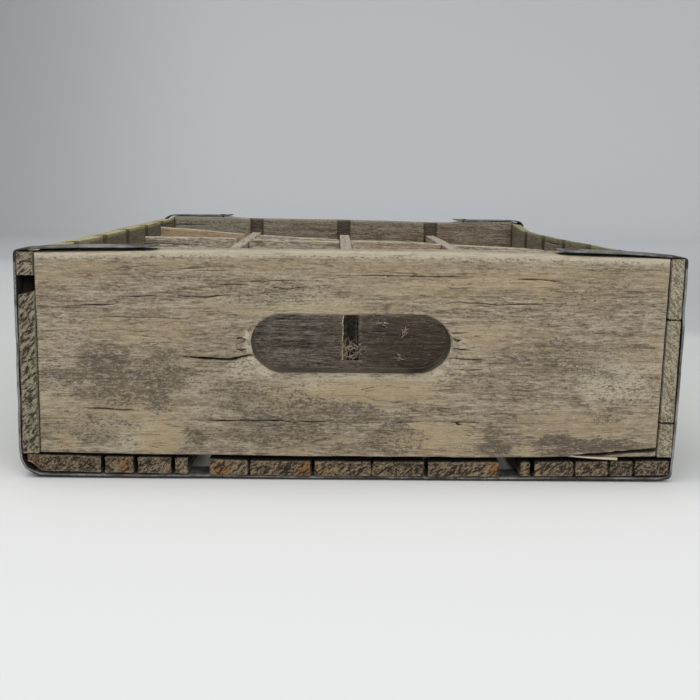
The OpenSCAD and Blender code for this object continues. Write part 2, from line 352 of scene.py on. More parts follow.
def dented(a, b, dents, side, seed):
    """The depth of the deepest ragged dent on this side; each has its middle, half sizes, depth and side."""
    dent = np.zeros(a.shape)
    for middle_a, middle_b, half_a, half_b, deep, on_side in dents:
        if on_side == side:
            reach = np.hypot((a - middle_a) / half_a, (b - middle_b) / half_b)
            reach = reach + 0.25 * layered(a / 2.5, b / 1.6, 0, seed + 77)
            dent = np.maximum(dent, deep * ease((1 - reach) / 0.6))
    return dent


def patches(a, b, places, seed):
    """The strongest of some ragged elliptical patches, each with its middle, half sizes and strength."""
    value = np.zeros(a.shape)
    ragged = 0.85 * layered(a / 11, b / 5, 0, seed, 4)
    for mid_a, mid_b, half_a, half_b, strength in places:
        reach = np.hypot((a - mid_a) / half_a, (b - mid_b) / half_b) + ragged
        value = np.maximum(value, strength * ease((1.3 - reach) / 0.7))
    return value


def new_piece(name, material, points, faces, values, smooth_angle=40):
    """A mesh object from its points in millimetres, its faces, and its values at each point."""
    mesh = bpy.data.meshes.new(name)
    mesh.vertices.add(len(points))
    mesh.vertices.foreach_set("co", (np.asarray(points) * MM).astype(np.float32).ravel())
    corners = faces.shape[1]
    mesh.loops.add(faces.size)
    mesh.loops.foreach_set("vertex_index", faces.astype(np.int32).ravel())
    mesh.polygons.add(len(faces))
    mesh.polygons.foreach_set("loop_start", np.arange(0, faces.size, corners, dtype=np.int32))
    mesh.polygons.foreach_set("loop_total", np.full(len(faces), corners, dtype=np.int32))
    mesh.update(calc_edges=True)
    mesh.validate()
    for key, value in values.items():
        vector = value.ndim == 2
        layer = mesh.attributes.new(key, "FLOAT_VECTOR" if vector else "FLOAT", "POINT")
        layer.data.foreach_set("vector" if vector else "value", value.astype(np.float32).ravel())
    mesh.shade_smooth()
    mesh.set_sharp_from_angle(angle=math.radians(smooth_angle))
    mesh.materials.append(material)
    piece = bpy.data.objects.new(name, mesh)
    bpy.context.scene.collection.objects.link(piece)
    return piece


def fitted_to_openings(a, b, openings, on_rim, inner):
    """Grid points on a round opening's rim are moved onto its outline, straight away from its core.

    Points up to 2.5 mm outside it take the mean of their four neighbours, four times over.
    """
    for opening in openings:
        mid_a, mid_b, half_a, half_b, radius = opening
        if radius > 0:
            gap = opening_gap(a, b, opening)
            core_a = np.clip(a, mid_a - half_a, mid_a + half_a)
            core_b = np.clip(b, mid_b - half_b, mid_b + half_b)
            away = np.hypot(a - core_a, b - core_b) + 1e-9
            here = on_rim & (np.abs(gap) < 3)
            a = np.where(here, core_a + (a - core_a) * radius / away, a)
            b = np.where(here, core_b + (b - core_b) * radius / away, b)
            near = inner & (gap > 0) & (gap < 2.5)
            for _ in range(4):
                a, b = (np.where(near, sum(np.roll(v, *way) for way in NEIGHBOURS) / 4, v) for v in (a, b))
    return a, b


def outline(kept, padded, cells, a, b):
    """The points round a board and its openings, the stretches between them, and the way out at each.

    A stretch is the side of a kept cell towards one that is not kept. The way out is the sum of the normals
    of the stretches that meet at a point, made one long.
    """
    sides = ((padded[1:-1, :-2], [0, 3]), (padded[1:-1, 2:], [2, 1]),
             (padded[:-2, 1:-1], [1, 0]), (padded[2:, 1:-1], [3, 2]))
    pairs = np.concatenate([cells[kept & ~beyond][:, ends] for beyond, ends in sides])
    rim, stretches = np.unique(pairs, return_inverse=True)
    stretches = stretches.reshape(pairs.shape)
    run_a, run_b = (v.ravel()[pairs[:, 1]] - v.ravel()[pairs[:, 0]] for v in (a, b))
    outward = np.zeros((len(rim), 2))
    for column in (0, 1):
        np.add.at(outward, stretches[:, column], np.stack([run_b, -run_a], 1))
    return rim, stretches, outward / (np.linalg.norm(outward, axis=1, keepdims=True) + 1e-9)


def board(name, material, a, b, thick, seed, directions, origin, pith, *, shape, stains, worn, levels,
          openings=(), groove=None, cracks=((), ()), dents=(), relief=0.22):
    """A board on the grid lines a and b: two faces, and walls between them along every outline.

    Each face starts flat. Close to an outline it falls away as a quarter circle, and grooves, cracks,
    dents and the grain's ridges are cut into it. Walls join the two outlines in even levels, roughened
    inwards. shape moves the finished points, and directions and origin turn them into the crate's own.
    stains gives the mildew, bare wood and tint at each point; the walls of openings are darkened as well,
    partly grime and partly painted shade.
    """
    grid_a, grid_b = np.meshgrid(a, b, indexing="ij")
    mid_a, mid_b = np.meshgrid((a[1:] + a[:-1]) / 2, (b[1:] + b[:-1]) / 2, indexing="ij")
    kept = np.ones(mid_a.shape, bool)
    for opening in openings:
        kept &= opening_gap(mid_a, mid_b, opening) > 0
    padded = np.pad(kept, 1)
    around = np.stack([padded[:-1, :-1], padded[1:, :-1], padded[:-1, 1:], padded[1:, 1:]])
    inner = around.all(0)
    grid_a, grid_b = fitted_to_openings(grid_a, grid_b, openings, around.any(0) & ~inner, inner)
    step = np.broadcast_to(np.gradient(b)[None, :], grid_a.shape)
    edge = outline_gap(grid_a, grid_b, a, b, openings).clip(0)
    roll = worn * (0.85 + 0.55 * layered(grid_a / 14, grid_b / 14, 0, seed + 50))
    fall = roll - np.sqrt(np.maximum(roll**2 - (roll - np.minimum(edge, roll)) ** 2, 0))
    faces = []
    for side in (0, 1):
        crack_seed = seed + 200 + 50 * side
        drawn_b = drawn_to_cracks(grid_a, grid_b, step, cracks[side], crack_seed)
        face_b = np.where(inner & (edge > 0.5), drawn_b, grid_b)
        depth = 0 * grid_a + side * thick
        ridges = relief * ripple(grid_a / 45, face_b / 1.3, depth, seed, 2)
        ridges = ridges + relief * ripple(grid_a / 60, face_b / 8, depth, seed + 9, 2)
        nearest, cut = cracked(grid_a, face_b, cracks[side], crack_seed)
        dent = dented(grid_a, face_b, dents, side, seed)
        sunk = fall + ridges + cut + dent
        wear = np.clip(1 - edge / 2.2, 0, 1) ** 1.5 + ease(dent / 0.8) * 0.8
        if side:
            sunk = sunk + (groove(grid_a) if groove else 0)
            for opening in openings:
                wear = wear * ease(opening_gap(grid_a, grid_b, opening) / 4)
        faces.append({"a": grid_a, "b": face_b, "c": np.where(side, thick - sunk, sunk), "crack": nearest,
                      "cut": cut, "wear": wear, **dict(zip(STAINS, stains(grid_a, face_b, side)))})
    front, back = faces
    ids = np.arange(grid_a.size).reshape(grid_a.shape)
    cells = grid_quads(ids)
    rim, stretches, outward = outline(kept, padded, cells, grid_a, grid_b)
    share = (np.arange(1, levels) / levels)[None, :]

    def on_wall(key):
        """The front face's value at the rim, passing evenly into the back face's."""
        return front[key].ravel()[rim][:, None] * (1 - share) + back[key].ravel()[rim][:, None] * share

    wall_a, wall_b, wall_c = on_wall("a"), on_wall("b"), on_wall("c")
    from_middle = np.abs(wall_a - (a[0] + a[-1]) / 2)
    is_end = (np.abs(outward[:, :1]) > 0.8) & (from_middle > (a[-1] - a[0]) / 2 - 1)
    grainy = np.where(is_end, ripple(wall_a / 3, wall_b / 1.2, wall_c / 1.2, seed + 5),
                      ripple(wall_a / 30, wall_b / 2, wall_c / 1.3, seed + 5))
    push = relief * 1.3 * grainy * np.minimum(1, 3 * np.minimum(share, 1 - share))
    push = push + np.where(is_end, 0.5 * on_wall("cut"), 0)
    wall_a, wall_b = wall_a - outward[:, :1] * push, wall_b - outward[:, 1:] * push

    def in_order(key, wall):
        """The values of the front face, the back face and the walls in one row."""
        return np.concatenate([front[key].ravel(), back[key].ravel(), wall.ravel()])

    all_a, all_b, all_c = in_order("a", wall_a), in_order("b", wall_b), in_order("c", wall_c)
    end = np.concatenate([np.zeros(2 * ids.size), (is_end * np.ones(share.shape)).ravel()])
    end_rim = rim[is_end[:, 0]]
    end[end_rim] = end[end_rim + ids.size] = 1
    to_edge = outline_gap(grid_a, grid_b, a, b).ravel()[rim][:, None]
    in_opening = (to_edge > 1) * ease(share / 0.15)
    rubbed = np.where(is_end, 0.08, 0.45) + np.where(is_end, 0.12, 0.5) * np.abs(2 * share - 1) ** 3
    # The walls inside openings are darkened: partly grime, partly painted shade.
    grime_and_shade = 0.8 + 0.3 * share + 0.4 * layered(wall_a / 8, wall_b / 5, 2 * share, seed + 6)
    grain = np.stack([all_a + GRAIN_APART * seed, all_b - pith[0], all_c - pith[1]], 1)
    values = {"grain": grain, "end": end, "wear": in_order("wear", rubbed * (1 - in_opening)),
              "crack": in_order("crack", on_wall("crack") * (1 - in_opening) + NO_CRACK * in_opening)}
    for key in STAINS:
        values[key] = in_order(key, on_wall(key) + (grime_and_shade * in_opening if key == "mildew_and_shade" else 0))
    start = 2 * ids.size + np.arange(len(rim))[:, None] * (levels - 1) + np.arange(levels - 1)
    columns = np.concatenate([rim[:, None], start, rim[:, None] + ids.size], 1)
    first, second = columns[stretches[:, 0]], columns[stretches[:, 1]]
    walls = np.stack([first[:, :-1], second[:, :-1], second[:, 1:], first[:, 1:]], -1).reshape(-1, 4)
    quads = np.concatenate([cells[kept], cells[kept][:, [0, 3, 2, 1]] + ids.size, walls])
    turn = np.array(directions, float)
    points = np.array(origin, float) + np.stack(shape(all_a, all_b, all_c), 1) @ turn
    if np.linalg.det(turn) < 0:
        quads = quads[:, ::-1]
    used, corners = np.unique(quads, return_inverse=True)
    values = {key: value[used] for key, value in values.items()}
    return new_piece(name, material, points[used], corners.reshape(quads.shape), values)


def new_group(name, inputs, outputs):
    """An empty shader group with these named sockets, and its two end nodes."""
    group = bpy.data.node_groups.new(name, "ShaderNodeTree")
    for in_out, sockets in (("INPUT", inputs), ("OUTPUT", outputs)):
        for label, kind in sockets.items():
            group.interface.new_socket(label, in_out=in_out, socket_type="NodeSocket" + kind)
    return group, group.nodes.new("NodeGroupInput").outputs, group.nodes.new("NodeGroupOutput")


def put_out(end_node, sockets):
    """Links each of these sockets to the group's output of that name."""
    for label, socket in sockets.items():
        end_node.id_data.links.new(socket, end_node.inputs[label])


def grain_noise(grain, scale, seed, detail, roughness):
    """Noise on the grain coordinates, stretched by a scale along a, b and c."""
    moved = (seed * 17.3, seed * 5.1, seed * 9.7)
    spot = wire(grain.id_data, "ShaderNodeMapping", {"Vector": grain, "Scale": scale, "Location": moved})
    inputs = {"Vector": spot.outputs[0], "Scale": 1.0, "Detail": float(detail), "Roughness": roughness}
    return wire(grain.id_data, "ShaderNodeTexNoise", inputs).outputs["Fac"]


# The marks of the grain: fine fibres, broader streaks, short dark checks, pale flecks, blotches, specks,
# yearly rings round the pith, and slanting pits for the end grain.
MARKS = ("Fibres", "Streaks", "Checks", "Flecks", "Blotches", "Specks", "Rings", "Pits")
grain_group, known, there = new_group("grain_marks", {"Grain": "Vector", "Ring Width": "Float"},
                                      dict.fromkeys(MARKS, "Float"))
grain = known["Grain"]
axes = wire(grain_group, "ShaderNodeSeparateXYZ", {0: grain}).outputs
veins = math_of("ABSOLUTE", math_of("SUBTRACT", grain_noise(grain, (0.035, 0.5, 0.5), 3, 3, 0.55), 0.5))
patchy = between(grain_noise(grain, (0.06, 0.2, 0.2), 9, 2, 0.6), 0.5, 0.6)
across = wire(grain_group, "ShaderNodeCombineXYZ", {"Y": axes["Y"], "Z": axes["Z"]}).outputs[0]
radius = wire(grain_group, "ShaderNodeVectorMath", {0: across}, operation="LENGTH").outputs["Value"]
bent = times(grain_noise(grain, (0.006, 0.2, 0.2), 6, 3, 0.6), 5.0, radius)
ring_turn = times(math_of("DIVIDE", bent, known["Ring Width"]), 2 * math.pi)
slanted = wire(grain_group, "ShaderNodeCombineXYZ", {
    "X": axes["X"], "Y": math_of("ADD", axes["Y"], axes["Z"]),
    "Z": math_of("SUBTRACT", axes["Z"], axes["Y"])}).outputs[0]
put_out(there, {
    "Fibres": grain_noise(grain, (0.17, 1.0, 1.0), 1, 3, 0.7),
    "Streaks": grain_noise(grain, (0.03, 0.36, 0.36), 2, 5, 0.65),
    "Checks": times(between(veins, 0.02, 0.006), patchy),
    "Flecks": between(grain_noise(grain, (0.4, 0.9, 0.9), 8, 2, 0.7), 0.58, 0.68),
    "Blotches": grain_noise(grain, (0.02, 0.05, 0.05), 4, 3, 0.55),
    "Specks": grain_noise(grain, (0.55, 0.85, 0.85), 5, 3, 0.85),
    "Rings": times(math_of("SINE", ring_turn), 0.5, 0.5),
    "Pits": grain_noise(slanted, (0.3, 0.17, 0.5), 7, 3, 0.8)})

# What weather does to the colour: grey and tan by streaks, dark in checks and cracks, pale where rubbed.
# End grain has its own two colours, and broken wood on it is warm. A tint and specks of mildew lie over
# that, then pale flecks and fresh wear. Mildew beyond 1.2 is painted shade, up to black at 2, for recesses
# and gaps.
COLOURS = ("Pale", "Main", "Dark", "Warm", "Grime", "End Pale", "End Dark", "Tinted")
STATES = ("Crack", "Wear", "End", "Mildew_And_Shade", "Bare_And_Shade", "Tint")
SHADE_BLACK, CRACK_DARK = (0.012, 0.01, 0.007, 1), (0.014, 0.011, 0.008, 1)
weather_group, of, there = new_group(
    "weathered_wood", {**dict.fromkeys(MARKS + STATES, "Float"), **dict.fromkeys(COLOURS, "Color")},
    {"Color": "Color", "Roughness": "Float", "Height": "Float"})
tone = times(of["Streaks"], 0.4, times(of["Fibres"], 0.45, times(of["Specks"], 0.35)))
cut_tone = times(of["Rings"], 0.06, times(of["Pits"], 0.94))
cut_colour = tinted(between(cut_tone, 0.43, 0.57), of["End Dark"], of["End Pale"])
cut_colour = tinted(times(of["Bare_And_Shade"], between(of["Pits"], 0.42, 0.56), clamp=True), cut_colour, of["Warm"])
all_over = math_of("MAXIMUM", math_of("SUBTRACT", of["Tint"], 1.0), 0.0)
speck = times(of["Streaks"], 0.3, times(of["Mildew_And_Shade"], 0.26, of["Specks"]))
fresh = times(of["Wear"], between(of["Fibres"], 0.40, 0.58), clamp=True)
colour = tinted(between(tone, 0.49, 0.60), of["Dark"], of["Main"])
for mask, laid_on in (
    (between(tone, 0.60, 0.68), of["Pale"]),
    (times(between(of["Blotches"], 0.48, 0.66), 0.4), of["Warm"]),
    (times(of["Bare_And_Shade"], 0.8, clamp=True), of["Warm"]),
    (times(of["Checks"], 0.75), of["Dark"]),
    (of["End"], cut_colour),
    (times(of["Tint"], between(of["Specks"], 0.42, 0.55), all_over, clamp=True), of["Tinted"]),
    (times(between(speck, 0.80, 0.90), 0.82), of["Grime"]),
    (times(of["Flecks"], times(of["End"], -0.5, 0.5)), of["Pale"]),
    (times(fresh, 0.55), of["Pale"]),
    # Painted shade: the mildew value beyond 1.2 darkens recesses and gaps to black.
    (times(between(of["Mildew_And_Shade"], 1.2, 2.0), 0.95), SHADE_BLACK),
    # The cracks' dark, near-black core is dirt and painted shade.
    (times(between(of["Crack"], 4.0, 1.0), 0.3), of["Dark"]),
    (times(between(of["Crack"], 1.7, 0.5), 0.93), CRACK_DARK),
):
    colour = tinted(mask, colour, laid_on)
height = times(of["Streaks"], 0.4)
for mark, strength in ((of["Fibres"], 0.9), (of["Specks"], 0.5), (of["Checks"], -0.35),
                       (times(of["End"], cut_tone), 2.4), (between(of["Crack"], 1.8, 0.5), -0.7)):
    height = times(mark, strength, height)
rough = times(of["Wear"], -0.12, times(of["Specks"], 0.15, 0.8), clamp=True)
put_out(there, {"Color": colour, "Roughness": rough, "Height": height})


def wood(name, ring_width, *colours):
    """A weathered wood made of the two groups, with its own ring width and its eight colours."""
    material, tree, shader = plain_material(name)
    states = {key: wire(tree, "ShaderNodeAttribute", attribute_name=key.lower()).outputs
              for key in ("Grain", *STATES)}
    marks = wire(tree, "ShaderNodeGroup", node_tree=grain_group)
    tree.links.new(states["Grain"]["Vector"], marks.inputs["Grain"])
    marks.inputs["Ring Width"].default_value = ring_width
    weather = wire(tree, "ShaderNodeGroup", node_tree=weather_group)
    for socket in marks.outputs:
        tree.links.new(socket, weather.inputs[socket.name])
    for key in STATES:
        tree.links.new(states[key]["Fac"], weather.inputs[key])
    for key, colour in zip(COLOURS, colours):
        weather.inputs[key].default_value = (*colour, 1)
    relief = wire(tree, "ShaderNodeBump", {
        "Height": weather.outputs["Height"], "Strength": 0.8, "Distance": 0.0009}).outputs[0]
    for socket, key in ((weather.outputs["Color"], "Base Color"), (weather.outputs["Roughness"], "Roughness"),
                        (relief, "Normal")):
        tree.links.new(socket, shader.inputs[key])
    shader.inputs["Specular IOR Level"].default_value = 0.25
    return material


front_wood = wood(
    "front_board_wood", 3.2, (0.385, 0.33, 0.25), (0.246, 0.199, 0.14), (0.108, 0.08, 0.053),
    (0.375, 0.292, 0.175), (0.075, 0.062, 0.046), (0.26, 0.21, 0.145), (0.07, 0.055, 0.038),
    (0.46, 0.407, 0.305))

# Each crack is its points, half-width and depth; each patch is its middle, half sizes and strength.
FRONT_CRACKS = [
    ([(-81, 86.1), (-67, 85.7), (-54.6, 86.8)], 0.2, 1.0),
    ([(-106, 85.8), (-97.4, 85.4), (-89, 86.4)], 0.15, 0.8), ([(-63.7, 91.5), (-46.4, 91.7)], 0.13, 0.6),
    ([(-52.3, 93.2), (-37.3, 93.4), (-24.1, 93.9)], 0.13, 0.6),
    ([(-36.4, 90.2), (-28.2, 89.8), (-20.9, 90.8)], 0.17, 0.8), ([(-72.7, 98.0), (-56.4, 98.2)], 0.11, 0.5),
    ([(-124.8, 81.5), (-107.5, 81.7)], 0.14, 0.7),
    ([(-78.2, 58.4), (-69.4, 57.5), (-55.7, 56.9), (-43.0, 59.3)], 0.42, 4.0),
    ([(-125.1, 33.6), (-111.2, 33.2), (-98.3, 32.4)], 0.2, 0.9),
    ([(-67.4, 27.9), (-51.1, 28.1), (-32.6, 28.2), (-25.6, 26.9), (-23.3, 27.8), (-6.1, 27.5)], 0.2, 1.0),
    ([(19.5, 27.2), (33.5, 28.3)], 0.13, 0.6), ([(45.6, 27.9), (61.5, 28.1)], 0.16, 0.7),
    ([(1.4, 96.5), (9.2, 96.3), (31.1, 96.3), (56.3, 96.2)], 0.16, 0.8),
    ([(75.5, 95.4), (86.1, 95.5), (97.1, 94.3)], 0.18, 0.9),
    ([(38.3, 83.1), (49.7, 84.6), (68.1, 83.4), (91.1, 84.1), (101.7, 83.3)], 0.13, 0.6),
    ([(45.0, 70.2), (54.0, 70.3)], 0.16, 0.8), ([(44.6, 62.8), (55.5, 62.4)], 0.16, 0.8),
    ([(44.0, 58.1), (61.5, 57.8)], 0.18, 0.9), ([(47.5, 53.0), (62.0, 53.1)], 0.14, 0.7),
    ([(104, 10.4), (118.2, 10.9), (131.3, 12.4), (150, 14.0)], 0.75, 4.0),
    ([(126, 11.6), (138, 12.2), (150, 12.9)], 0.3, 2.0),
    ([(-121.8, 74.6), (-113.5, 76.5), (-99.0, 75.8)], 0.11, 0.4),
    ([(-112.6, 76.5), (-73.9, 75.5)], 0.11, 0.4), ([(-53.5, 66.2), (-50.5, 67.0), (-47.0, 65.4)], 0.25, 1.4),
    ([(-52.6, 62.0), (-50.0, 61.0), (-47.2, 61.6)], 0.3, 1.6),
    ([(45.6, 68.0), (48.0, 66.4), (50.5, 66.9)], 0.3, 1.6), ([(4.4, 43.2), (13.6, 45.2)], 0.14, 0.5),
    ([(49.0, 27.2), (50.7, 27.0), (52.6, 26.6)], 0.35, 0.8)]
FRONT_MILDEW = [
    (-97, 47, 34, 12, 0.64), (-112, 60, 16, 5, 0.45), (-84, 58, 10, 4, 0.6), (-120, 21, 22, 9, 0.5),
    (-72, 21, 8, 9, 0.6), (-24, 27, 33, 15, 0.57), (-44, 42, 14, 5, 0.5), (107, 15.5, 19, 6.5, 0.85),
    (70, 14, 9, 5, 0.85), (75, 30, 6, 3, 0.6), (66, 23, 7, 5, 0.62), (20, 20, 14, 9, 0.5),
    (2, 33, 12, 5, 0.5), (100, 58, 34, 9, 0.4), (131, 64, 12, 3, 0.5), (64, 47, 16, 5, 0.35),
    (133, 15, 8, 3, 0.6), (-45, 89, 24, 4, 0.35), (112, 88, 22, 8, 0.3), (120, 30, 12, 3, 0.5)]
FRONT_BARE = [
    (-87, 20, 12, 10, 0.9), (5, 44, 42, 6, 0.8), (110, 27, 32, 8, 0.6), (40, 20, 22, 7, 0.8),
    (60, 94, 26, 5, 0.55), (-100, 70, 26, 6, 0.5), (0, 100, 120, 4, 0.35), (-132, 16, 8, 5, 0.6),
    (-20, 80, 40, 3, 0.6), (64, 72, 12, 4, 0.45), (95, 99, 30, 3, 0.5)]
FRONT_WASHED = [
    (-112, 22, 24, 8, 0.6), (-25, 45, 22, 3, 0.5), (-72, 45, 12, 5, 0.45), (125, 49, 18, 9, 0.75),
    (112, 60, 20, 3, 0.4), (-30, 84, 24, 5, 0.4), (-28, 92, 12, 5, 0.35), (-132, 55, 9, 20, 0.3),
    (50, 58, 8, 9, 0.5), (-46, 52, 8, 4, 0.8), (38, 50, 10, 3, 0.7), (0, 49, 40, 2, 0.45)]
FRONT_DENTS = [
    (-48, 62, 4.5, 5, 2.2, 0), (-42, 52.5, 8, 3.2, 1.6, 0), (38, 52, 13, 3.6, 2.0, 0),
    (-99, 106.5, 2.5, 1.6, 1.0, 0), (47, 60, 2.4, 8, 1.2, 0), (0, 50.8, 34, 1.8, 0.9, 0)]


def front_stains(a, b, side):
    """Mildew, bare and washed-out patches on the outer face, thin mildew on the inner one.

    The outer top edge and a band from 0 to 4 mm round the handhold's left end and lower corners are rubbed
    pale, and 2.6 mm under the handhold are darkened, more so on the right, partly by grime and partly as
    painted shade.
    """
    gap = opening_gap(a, b, HANDHOLD)
    # Low on the right of the handhold both faces get painted shade as well as grime.
    on_right = 0.45 * ease(a / 45) * ease((3 - gap) / 3) * ease((56 - b) / 3)
    if side:
        return np.stack([0.35 + 0.3 * layered(a / 25, b / 15, 0, 31) + on_right, 0.1 + 0 * a, 0 * a])
    top = ease((b - 103.2) / 4.1)
    ragged = gap + 0.8 * layered(a / 4, b / 3, 0, 33)
    corners = ease((np.abs(a) - 34) / 6) * ease((60 - b) / 6) + ease((-40 - a) / 3) * (b < 70)
    rim = ease((ragged + 0.4) / 0.8) * ease((4.0 - ragged) / 1.4) * np.minimum(corners, 1)
    # Darker under the handhold: grime and painted shade.
    grime_and_shade = 0.5 * ease((2.6 - gap) / 2.6) * ease((56 - b) / 3) * ease((38 - np.abs(a)) / 8)
    mildew_and_shade = (0.2 + patches(a, b, FRONT_MILDEW, 32)) * (1 - top) * (1 - rim) + grime_and_shade + 0.6 * on_right
    washed = np.maximum(patches(a, b, FRONT_WASHED, 40), np.maximum(2.2 * top, 1.3 * rim))
    return np.stack([mildew_and_shade, patches(a, b, FRONT_BARE, 36), washed])


def crowned(a, b, c):
    """The front board's worn outline: its top falls and its bottom rises towards its ends, which lean out.

    The handhold's round ends and lower edge are worn wider. Top and handhold are worn most at the front face.
    """
    far = np.abs(a / HALF_INNER_WIDTH) ** 2.2
    up = (b - FLOOR_Z) / (RIM_Z - FLOOR_Z)
    drop = (2.1 * far + 0.25 * ripple(a / 23, 0, 0, 41) + 0.3) * (1 - 0.62 * c / END_THICK)
    lift = 1.85 + 1.0 * far + 0.25 * layered(a / 17, 0, 0, 42)
    lean = ease((a - 100) / 44) * (2.3 * up - 0.35) - ease((-100 - a) / 44) * 0.65 * up**3
    round_ends = bell((np.abs(a) - 46) / 7) * bell((b - HANDHOLD_Z) / 12)
    lower_edge = bell((b - 51) / 5) * ease((50 - np.abs(a)) / 14)
    outer = 1 - 0.6 * c / END_THICK
    return (a + lean + np.sign(a) * 0.8 * round_ends * outer,
            b + lift * ease((32 - b) / 22) - drop * ease((b - 90) / 18) - 0.9 * lower_edge * outer, c)


end_stops = (-144, -142.5, -52, -30, 30, 52, 142.5, 144)
end_steps = (0.4, 1.7, 0.75, 1.7, 0.75, 1.7, 0.4)
end_a = lines(zip(end_stops, end_stops[1:], end_steps), creases=beside_rows(LONG_ROWS, GROOVE_WIDTH / 2))
end_b = lines(with_edges(FLOOR_Z, RIM_Z, 0.62),
              marks=[HANDHOLD_Z - HANDHOLD_RADIUS, HANDHOLD_Z + HANDHOLD_RADIUS])
front_board = board(
    "front_end_board_wood", front_wood, end_a, end_b, END_THICK, 1, ((1, 0, 0), (0, 0, 1), (0, 1, 0)),
    (0, -HALF_LENGTH, 0), (150, 60), shape=crowned, stains=front_stains, worn=1.1, levels=9,
    openings=[HANDHOLD], groove=grooves(LONG_ROWS),
    cracks=(FRONT_CRACKS, some_cracks(11, (-140, 140), (FLOOR_Z, RIM_Z), 14)), dents=FRONT_DENTS)
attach(front_board, "crate")
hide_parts("front_end_board")

# Splinter at the front board's lower right corner: a long sliver of its own wood that has split away.
# It still hangs on at its left end and bows below the board's edge.


def smooth_path(corners, step, rounding):
    """Even points along straight runs between corners, with each corner rounded by a running mean."""
    corners = np.array(corners, float)
    lengths = np.concatenate([[0], np.cumsum(np.linalg.norm(np.diff(corners, axis=0), axis=1))])
    at = np.linspace(0, lengths[-1], max(8, round(lengths[-1] / step)))
    path = np.stack([np.interp(at, lengths, column) for column in corners.T], 1)
    reach = max(1, round(rounding / step))
    padded = np.concatenate([np.repeat(path[:1], reach, 0), path, np.repeat(path[-1:], reach, 0)])
    window = np.ones(2 * reach + 1) / (2 * reach + 1)
    mean = np.stack([np.convolve(column, window, "valid") for column in padded.T], 1)
    mean[0], mean[-1] = path[0], path[-1]
    return mean


def round_ring(count):
    """Points evenly round a circle of radius 1: the cosine and the sine of each turn."""
    turn = np.linspace(0, 2 * np.pi, count, endpoint=False)
    return np.stack([np.cos(turn), np.sin(turn)], 1)


def swept(path, ring, widths, heights, sideways):
    """A closed ring carried along a path and scaled at each point; sideways is the ring's first direction.

    The second direction is square to the path and to sideways. Both ends close on their middle points.
    Returns the points, the quads and the triangles of the ends.
    """
    along = np.gradient(path, axis=0)
    along /= np.linalg.norm(along, axis=1, keepdims=True)
    side = np.broadcast_to(np.array(sideways, float), path.shape)
    side = side - (side * along).sum(1, keepdims=True) * along
    side /= np.linalg.norm(side, axis=1, keepdims=True)
    up = np.cross(along, side)
    body = path[:, None] + ring[None, :, :1] * (widths[:, None, None] * side[:, None])
    body = body + ring[None, :, 1:] * (heights[:, None, None] * up[:, None])
    count, corners = len(path), len(ring)
    ids = np.arange(count * corners).reshape(count, corners)
    ids = np.concatenate([ids, ids[:, :1]], 1)
    start, finish = np.full((2, corners), [[count * corners], [count * corners + 1]])
    caps = np.concatenate([np.stack([start, ids[0, 1:], ids[0, :-1]], 1),
                           np.stack([finish, ids[-1, :-1], ids[-1, 1:]], 1)])
    return np.concatenate([body.reshape(-1, 3), path[:1], path[-1:]]), grid_quads(ids).reshape(-1, 4), caps


def closed_piece(name, material, shells, values, smooth_angle=40):
    """One object from several closed shells of quads and end triangles, each turned to face outwards."""
    points, triangles, first = [], [], 0
    for spots, quads, caps in shells:
        faces = np.concatenate([quads[:, :3], quads[:, [0, 2, 3]], caps])
        corner = spots[faces]
        if np.einsum("ij,ij->i", corner[:, 0], np.cross(corner[:, 1], corner[:, 2])).sum() < 0:
            faces = faces[:, ::-1]
        points.append(spots)
        triangles.append(faces + first)
        first += len(spots)
    return new_piece(name, material, np.concatenate(points), np.concatenate(triangles), values, smooth_angle)


def splinter_values(shells, offset):
    """The wood's values on loose splinters: own grain, rubbed bare, with no crack, stain or end grain."""
    points = np.concatenate([shell[0] for shell in shells])
    same = {"crack": NO_CRACK, "wear": 0.9, "end": 0.0, "mildew_and_shade": 0.0, "bare_and_shade": 0.5, "tint": 0.0}
    return {"grain": points + offset, **{key: np.full(len(points), value) for key, value in same.items()}}


pale_wood = wood(
    "split_wood", 3.0, (0.58, 0.51, 0.39), (0.50, 0.42, 0.30), (0.30, 0.24, 0.16), (0.5, 0.41, 0.26),
    (0.1, 0.08, 0.06), (0.3, 0.25, 0.17), (0.1, 0.08, 0.06), (0.5, 0.45, 0.36))
oval = round_ring(10)
sliver_path = smooth_path(
    [(97, -234.0, 12.9), (104, -234.15, 12.3), (114, -234.2, 11.7), (125.5, -234.2, 11.2)], 0.8, 3)
share = np.linspace(0, 1, len(sliver_path))
sliver = swept(sliver_path, oval, 0.2 + 0.55 * share**0.5, 0.12 + 0.6 * share**0.8, (0, 1, 0))
splinter = closed_piece("front_board_splinter", pale_wood, [sliver], splinter_values([sliver], 900))
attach(splinter, "crate")

# Back end board: the same board at the far end, nailed like the front one and seen from inside the crate.
# Its straight, lower top edge is green with algae, and its inner face is browner, with three dark grooves,
# darkened by damp and by painted shade.

BACK_TOP = [(-144, 107.2), (-97, 107.0), (-85, 105.9), (-58, 105.7), (0, 105.4), (30, 105.0), (60, 104.3),
            (92, 104.0), (100, 105.2), (144, 105.4)]
back_wood = wood(
    "back_board_wood", 3.4, (0.33, 0.29, 0.23), (0.205, 0.162, 0.115), (0.09, 0.068, 0.047),
    (0.2, 0.14, 0.085), (0.05, 0.038, 0.029), (0.24, 0.2, 0.14), (0.07, 0.055, 0.04), (0.29, 0.28, 0.22))


def damp_and_shade_beside(a, rows):
    """1 within 4.5 mm of a row of dividers and 0 beyond 7.5 mm."""
    return ease((7.5 - to_row(a, rows)) / 3)


